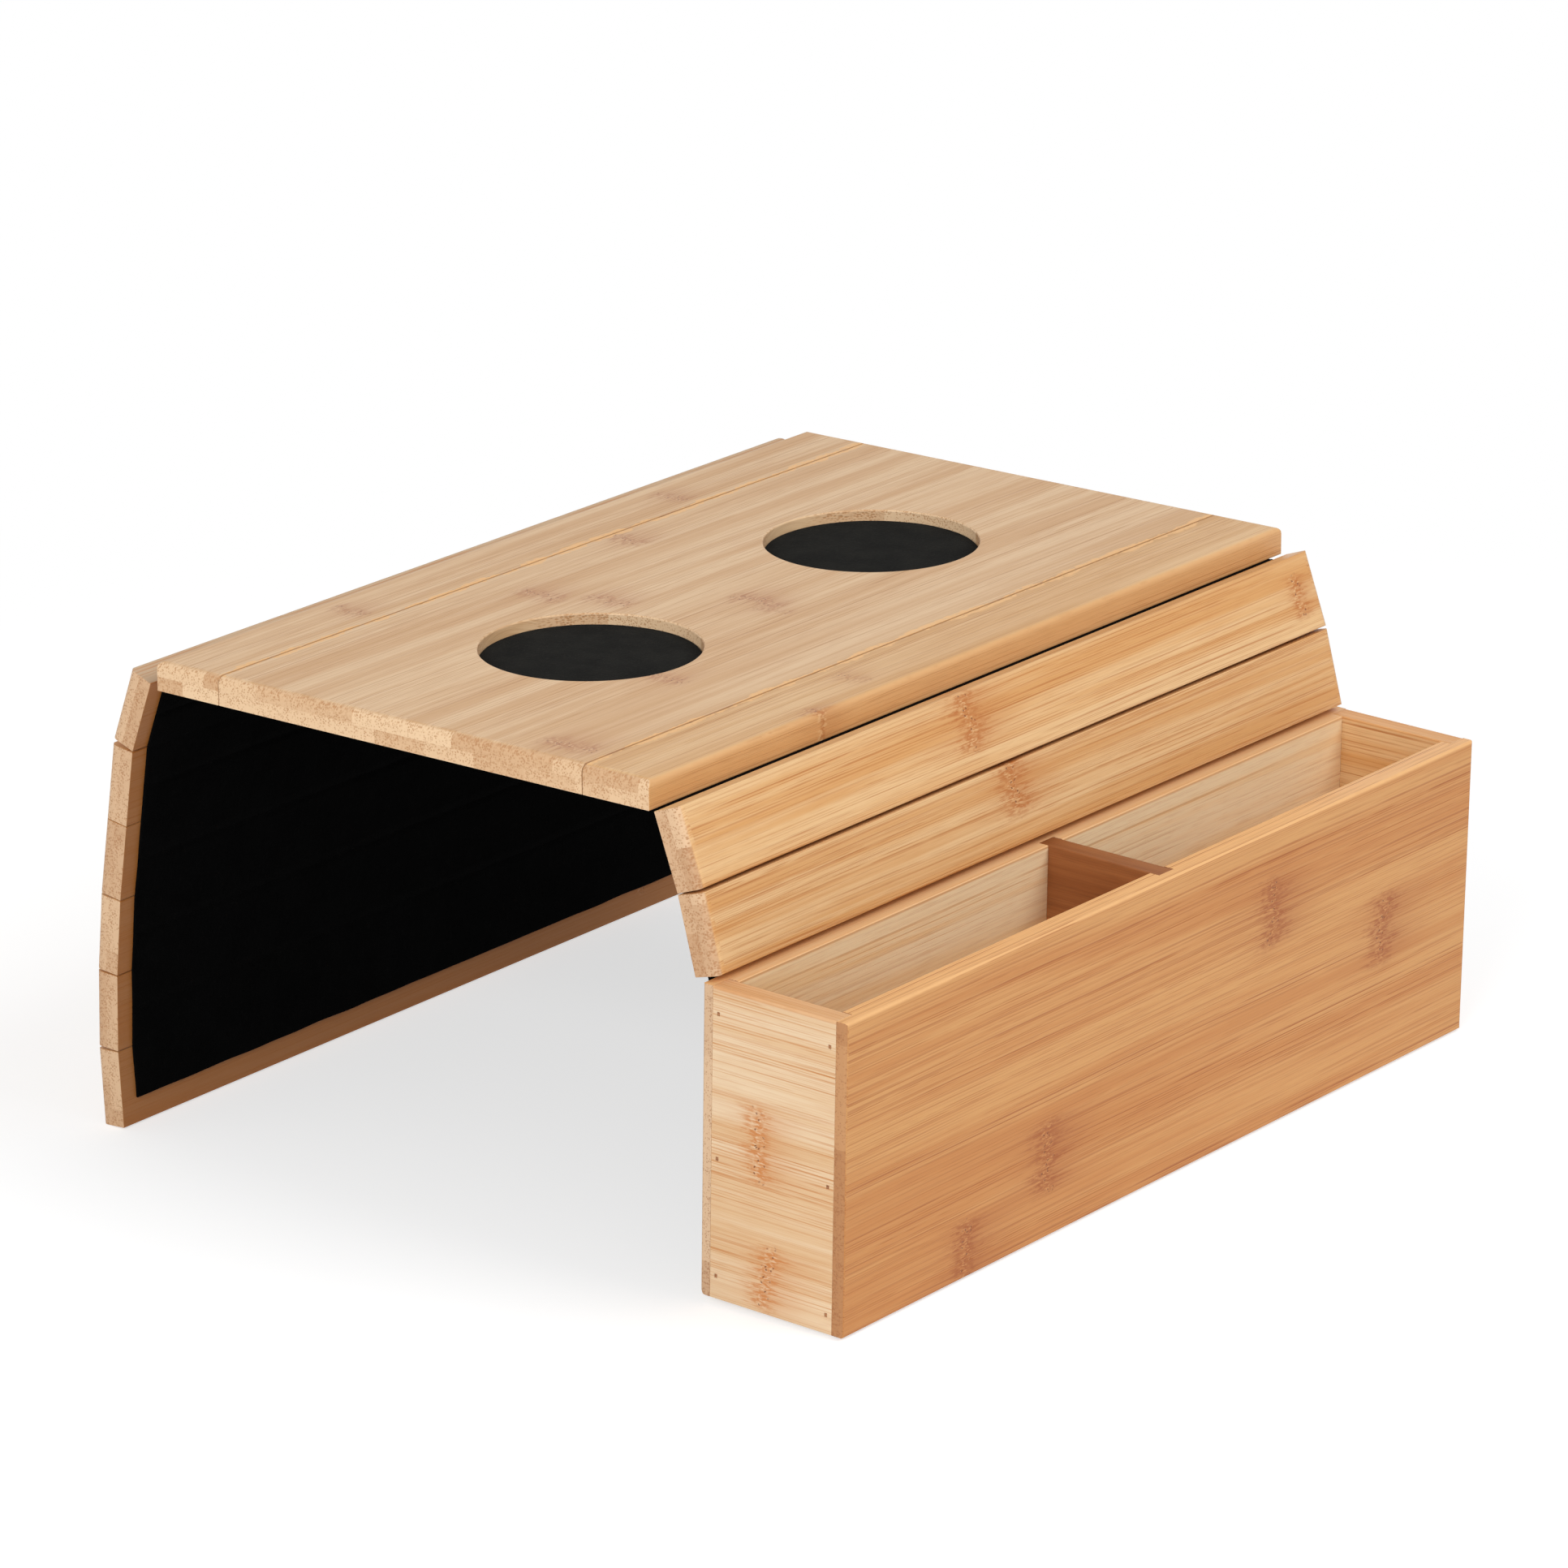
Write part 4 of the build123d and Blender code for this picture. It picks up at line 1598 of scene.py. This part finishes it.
@dataclass
class Wardrobe:
    """The finishes of the tray, and one material for each board."""

    first_seed: float = 1.0
    seed_step: float = 1.37
    one_sided: float = 1000.0
    chip_reach: float = 3.6
    shoulder_share: float = 0.7
    shoulder_edge: Colour = (218, 166, 110)
    rim_share: float = 0.6
    warm_edge: Colour = (216, 152, 88)
    front_rim_light_share: float = 0.8
    pale_edge: Colour = (240, 188, 128)
    upper_end_share: float = 0.95
    upper_end: Colour = (198, 170, 138)
    made: dict = field(default_factory=dict)
    top: BambooFinish = BambooFinish(
        pale=(228, 193, 151), warm=(210, 166, 118), line=(178, 124, 78), knuckle=(180, 122, 80),
        end_light=(236, 202, 162), end_dark=(184, 130, 82), line_strength=0.65,
        fine_strength=0.60, dash_strength=0.16, underside_shade=0.85)
    right_edge: BambooFinish = replace(
        top, pale=(226, 186, 136), warm=(208, 158, 100), line=(176, 116, 62),
        knuckle=(178, 116, 66))
    slat: BambooFinish = BambooFinish(
        pale=(232, 192, 140), warm=(216, 160, 98), line=(180, 108, 46), knuckle=(186, 112, 52),
        end_light=(224, 188, 150), end_dark=(172, 118, 72), line_strength=0.75,
        fine_strength=0.65, dash_strength=0.12, underside_shade=0.85)
    front: BambooFinish = BambooFinish(
        pale=(217, 160, 98), warm=(203, 137, 75), line=(160, 84, 32), knuckle=(166, 92, 42),
        end_light=(196, 144, 97), end_dark=(160, 102, 58), strip_width=35.0, line_strength=0.80,
        fine_strength=0.65, dash_strength=0.08)
    side: BambooFinish = BambooFinish(
        pale=(233, 206, 171), warm=(222, 184, 140), line=(194, 122, 58), knuckle=(200, 126, 64),
        end_light=(226, 188, 148), end_dark=(172, 120, 76), strip_width=24.0,
        line_strength=0.85, fine_strength=0.70, dash_strength=0.12)
    # Painted light: the back board's bamboo is paler than the other boards', for the light that
    # reaches inside the box.
    inner: BambooFinish = BambooFinish(
        pale=(254, 229, 186), warm=(248, 208, 152), line=(208, 148, 90), knuckle=(188, 118, 58),
        end_light=(220, 186, 150), end_dark=(164, 112, 72), strip_width=35.0)
    shaded: BambooFinish = BambooFinish(
        pale=(158, 98, 54), warm=(138, 80, 40), line=(104, 54, 24), knuckle=(114, 62, 30),
        end_light=(206, 152, 102), end_dark=(150, 96, 56), strip_width=35.0)
    # Painted shade: the sheet is the same black felt as the discs, made darker still for the shade
    # under the tray.
    sheet_felt: FeltFinish = FeltFinish("felt_sheet", (5, 5, 5), (14, 14, 14), 0.0)
    cup_felt: FeltFinish = FeltFinish("felt_discs", (14, 14, 12), (38, 37, 33), 0.02)

    @staticmethod
    def knuckles() -> dict[str, tuple[Knuckle, ...]]:
        """Give where nodes of the cane show, by the board's node."""
        spots = {
            "centre_board": (
                (-162.0, 138.6, 6.0, 13.0, 0.9), (-41.9, 26.6, 6.0, 12.0, 0.85),
                (-33.2, 49.3, 6.0, 12.0, 0.85), (27.2, 6.7, 6.0, 12.0, 0.9),
                (-3.5, 89.4, 6.0, 13.0, 0.9), (-89.2, 117.0, 6.0, 12.0, 0.85),
                (-8.5, 100.3, 4.0, 9.0, 0.5)),
            "left_edge_slat": ((-93.2, 13.2, 5.0, 9.0, 0.8), (77.2, 12.2, 5.0, 9.0, 0.8)),
            "right_edge_slat": ((-52.1, 12.8, 5.0, 8.0, 0.6), (-86.6, 27.0, 5.0, 7.0)),
            "left_slat_1": ((64.0, 15.0, 8.0, 12.0, 0.8),),
            "left_slat_2": ((-118.0, 9.0, 8.0, 12.0, 0.8),),
            "left_slat_4": ((21.0, 18.0, 8.0, 13.0, 0.8), (151.0, 6.0, 6.0, 9.0, 0.7)),
            "left_slat_5": ((-77.0, 12.0, 8.0, 12.0, 0.8),),
            "left_slat_6": ((104.0, 10.0, 8.0, 12.0, 0.8),),
            "right_slat_1": ((-27.0, 10.0, 9.0, 12.0), (162.0, 14.0, 5.0, 9.0)),
            "right_slat_2": ((-13.0, 5.7, 9.0, 14.0),),
            "box_far_side": ((31.0, 68.0, 6.0, 14.0, 0.9),),
            "box_front_board": (
                (56.5, 29.2, 9.0, 15.0), (123.8, 54.3, 9.0, 15.0), (-69.6, 77.9, 9.0, 15.0),
                (-112.0, 96.3, 9.0, 12.0)),
            "box_near_side": ((22.7, 49.2, 6.0, 15.5), (26.7, 93.7, 6.0, 13.0)),
        }
        return {node: tuple(Knuckle(*spot) for spot in found) for node, found in spots.items()}

    def plans(self, mat: FoldingMat, box: OrganizerBox) -> dict[str, BoardPlan]:
        """Say what each board is made of.

        Args:
            mat: The mat, for its boards' widths.
            box: The box, for the tilt of its fibres.

        Returns:
            The plan of each board, by its node.
        """
        along = Vector((0.0, 1.0, 0.0))
        across = box.to_frame.to_3x3() @ Vector((1.0, 0.0, 0.0))
        slat = BoardPlan(self.slat, along)
        plans = {"centre_board": BoardPlan(self.top, along, mat.centre_width / MILLIMETRE,
                                           self.chip_reach)}
        for side in Side:
            name = side.name.lower()
            edge = BoardPlan(self.top, along, self.one_sided, self.chip_reach)
            if side == Side.RIGHT:
                edge = replace(edge, finish=self.right_edge, edge_share=self.shoulder_share,
                               edge_place=mat.slat_width / MILLIMETRE,
                               edge_colour=self.shoulder_edge)
            plans[f"{name}_edge_slat"] = edge
            for number in range(1, mat.slat_counts[side] + 1):
                plans[f"{name}_slat_{number}"] = slat
        plans["left_slat_1"] = replace(slat, edge_share=self.upper_end_share,
                                       edge_colour=self.upper_end)
        rim = {"edge_share": self.rim_share, "edge_colour": self.warm_edge}
        plans["box_back_board"] = BoardPlan(self.inner, along, **rim)
        # Painted light: the front board's top rim is made paler, for the light that falls on it.
        plans["box_front_board"] = BoardPlan(self.front, along, edge_share=self.front_rim_light_share,
                                             edge_colour=self.pale_edge)
        plans["box_near_side"] = BoardPlan(self.side, across, **rim)
        plans["box_far_side"] = BoardPlan(self.slat, across, **rim)
        plans["box_divider"] = BoardPlan(self.shaded, across)
        plans["box_bottom"] = BoardPlan(self.front, along)
        return plans

    def dress(self, mat: FoldingMat, box: OrganizerBox) -> None:
        """Make the bamboo of every board."""
        maker = BambooMaker(BambooGroups())
        spots = self.knuckles()
        for number, (node, plan) in enumerate(self.plans(mat, box).items()):
            seed = self.first_seed + number * self.seed_step
            self.made[node] = maker.make(node, plan, seed, spots.get(node, ()))


@dataclass(frozen=True)
class Lamp:
    """A soft square lamp: where it hangs, its side in metres and its power in watts."""

    name: str
    place: tuple[float, float, float]
    size: float
    power: float

    def hang(self, target: Vector) -> None:
        """Hang the lamp so that it faces a point."""
        data = bpy.data.lights.new(self.name, "AREA")
        data.shape = "SQUARE"
        data.size = self.size
        data.energy = self.power
        lamp = linked(self.name, data)
        lamp.location = self.place
        lamp.rotation_euler = (target - lamp.location).to_track_quat("-Z", "Y").to_euler()


@dataclass
class Studio:
    """The floor, the lamps, the white surroundings and the camera."""

    floor_height: float = -0.15911
    floor_size: float = 24.0
    floor_lift: float = 0.575
    floor_albedo: float = 0.80
    floor_seen_albedo: float = 0.60
    white_from: float = 0.34
    white_past: float = 0.75
    ambient: float = 0.40
    lamps: tuple[Lamp, ...] = (Lamp("key_lamp", (1.6, 0.5, 1.55), 1.4, 25.0),
                               Lamp("fill_lamp", (0.6, -2.4, 1.0), 1.6, 39.0))
    lamp_target: tuple[float, float, float] = (0.0, 0.0, -0.05)
    lens: float = 175.708
    sensor: float = 36.0
    place: tuple[float, float, float] = (1.54523, -1.93928, 0.76735)
    azimuth: float = 38.170
    elevation: float = 18.400
    roll: float = 0.477

    @staticmethod
    def _seen(wiring: Wiring) -> Value:
        """Give 1 for rays that see the surroundings directly or in a reflection."""
        light = wiring.add("ShaderNodeLightPath").outputs
        direct = Value(wiring, light["Is Camera Ray"]).math("MAXIMUM", light["Is Glossy Ray"])
        return direct.math("MAXIMUM", light["Is Transmission Ray"])

    def build_world(self) -> None:
        """Make the surroundings white to the eye and softer to the object."""
        world = bpy.data.worlds.new("studio")
        bpy.context.scene.world = world
        world.use_nodes = True
        wiring = Wiring(world.node_tree)
        wiring.feed(world.node_tree.nodes["Background"], {
            "Color": (255, 255, 255), "Strength": self._seen(wiring).between(self.ambient, 1.0)})

    def build_floor(self) -> None:
        """Build the pale floor, which keeps the tray's soft shadow."""
        half = self.floor_size / 2
        points = [(x, y, self.floor_height) for x, y in ((-half, -half), (half, -half),
                                                         (half, half), (-half, half))]
        mesh = bpy.data.meshes.new("floor")
        mesh.from_pydata(points, [], [(0, 1, 2, 3)])
        floor = linked("floor", mesh)
        material, wiring, shader = new_material("floor_white")
        material.node_tree.nodes.remove(shader)
        seen = self._seen(wiring)
        spot = wiring.value("ShaderNodeTexCoord", output="Object")
        away = wiring.value("ShaderNodeVectorMath", {0: spot}, "Value", operation="LENGTH")
        white = away.smooth(self.white_from, self.white_past)
        albedo = (1.0 - white * seen) * seen.between(self.floor_albedo, self.floor_seen_albedo)
        lift = white.between(self.floor_lift, 1.0)
        diffuse = wiring.value("ShaderNodeBsdfDiffuse", {
            "Color": wiring.combine(albedo, albedo, albedo)})
        glow = wiring.value("ShaderNodeEmission", {"Strength": seen * lift})
        both = wiring.value("ShaderNodeAddShader", {0: diffuse, 1: glow})
        wiring.feed(material.node_tree.nodes["Material Output"], {"Surface": both})
        mesh.materials.append(material)

    def build_camera(self) -> None:
        """Set the camera at the photo's angle."""
        data = bpy.data.cameras.new("camera")
        data.lens = self.lens
        data.sensor_width = self.sensor
        camera = linked("camera", data)
        turn = (Matrix.Rotation(math.radians(self.azimuth), 4, "Z")
                @ Matrix.Rotation(math.radians(90.0 - self.elevation), 4, "X")
                @ Matrix.Rotation(math.radians(-self.roll), 4, "Z"))
        camera.matrix_world = Matrix.Translation(self.place) @ turn
        bpy.context.scene.camera = camera

    def build(self) -> None:
        """Build the whole studio."""
        self.build_world()
        self.build_floor()
        for lamp in self.lamps:
            lamp.hang(Vector(self.lamp_target))
        self.build_camera()
        bpy.context.scene.view_settings.view_transform = "Standard"


def main() -> None:
    """Build the tray and its studio."""
    logging.basicConfig(level=logging.INFO, format="%(name)s: %(message)s")
    mat = FoldingMat()
    box = OrganizerBox(mat)
    wardrobe = Wardrobe()
    wardrobe.dress(mat, box)
    tree = BoardTree()
    sheet_felt = wardrobe.sheet_felt.make()
    CentreBoard(mat).build(tree, wardrobe.made["centre_board"], wardrobe.cup_felt.make())
    for side in Side:
        mat.build_slats(side, tree, wardrobe.made)
        mat.build_felt(side, sheet_felt)
    box.build(wardrobe.made, SteelFinish().make())
    Studio().build()


if __name__ == "__main__":
    main()
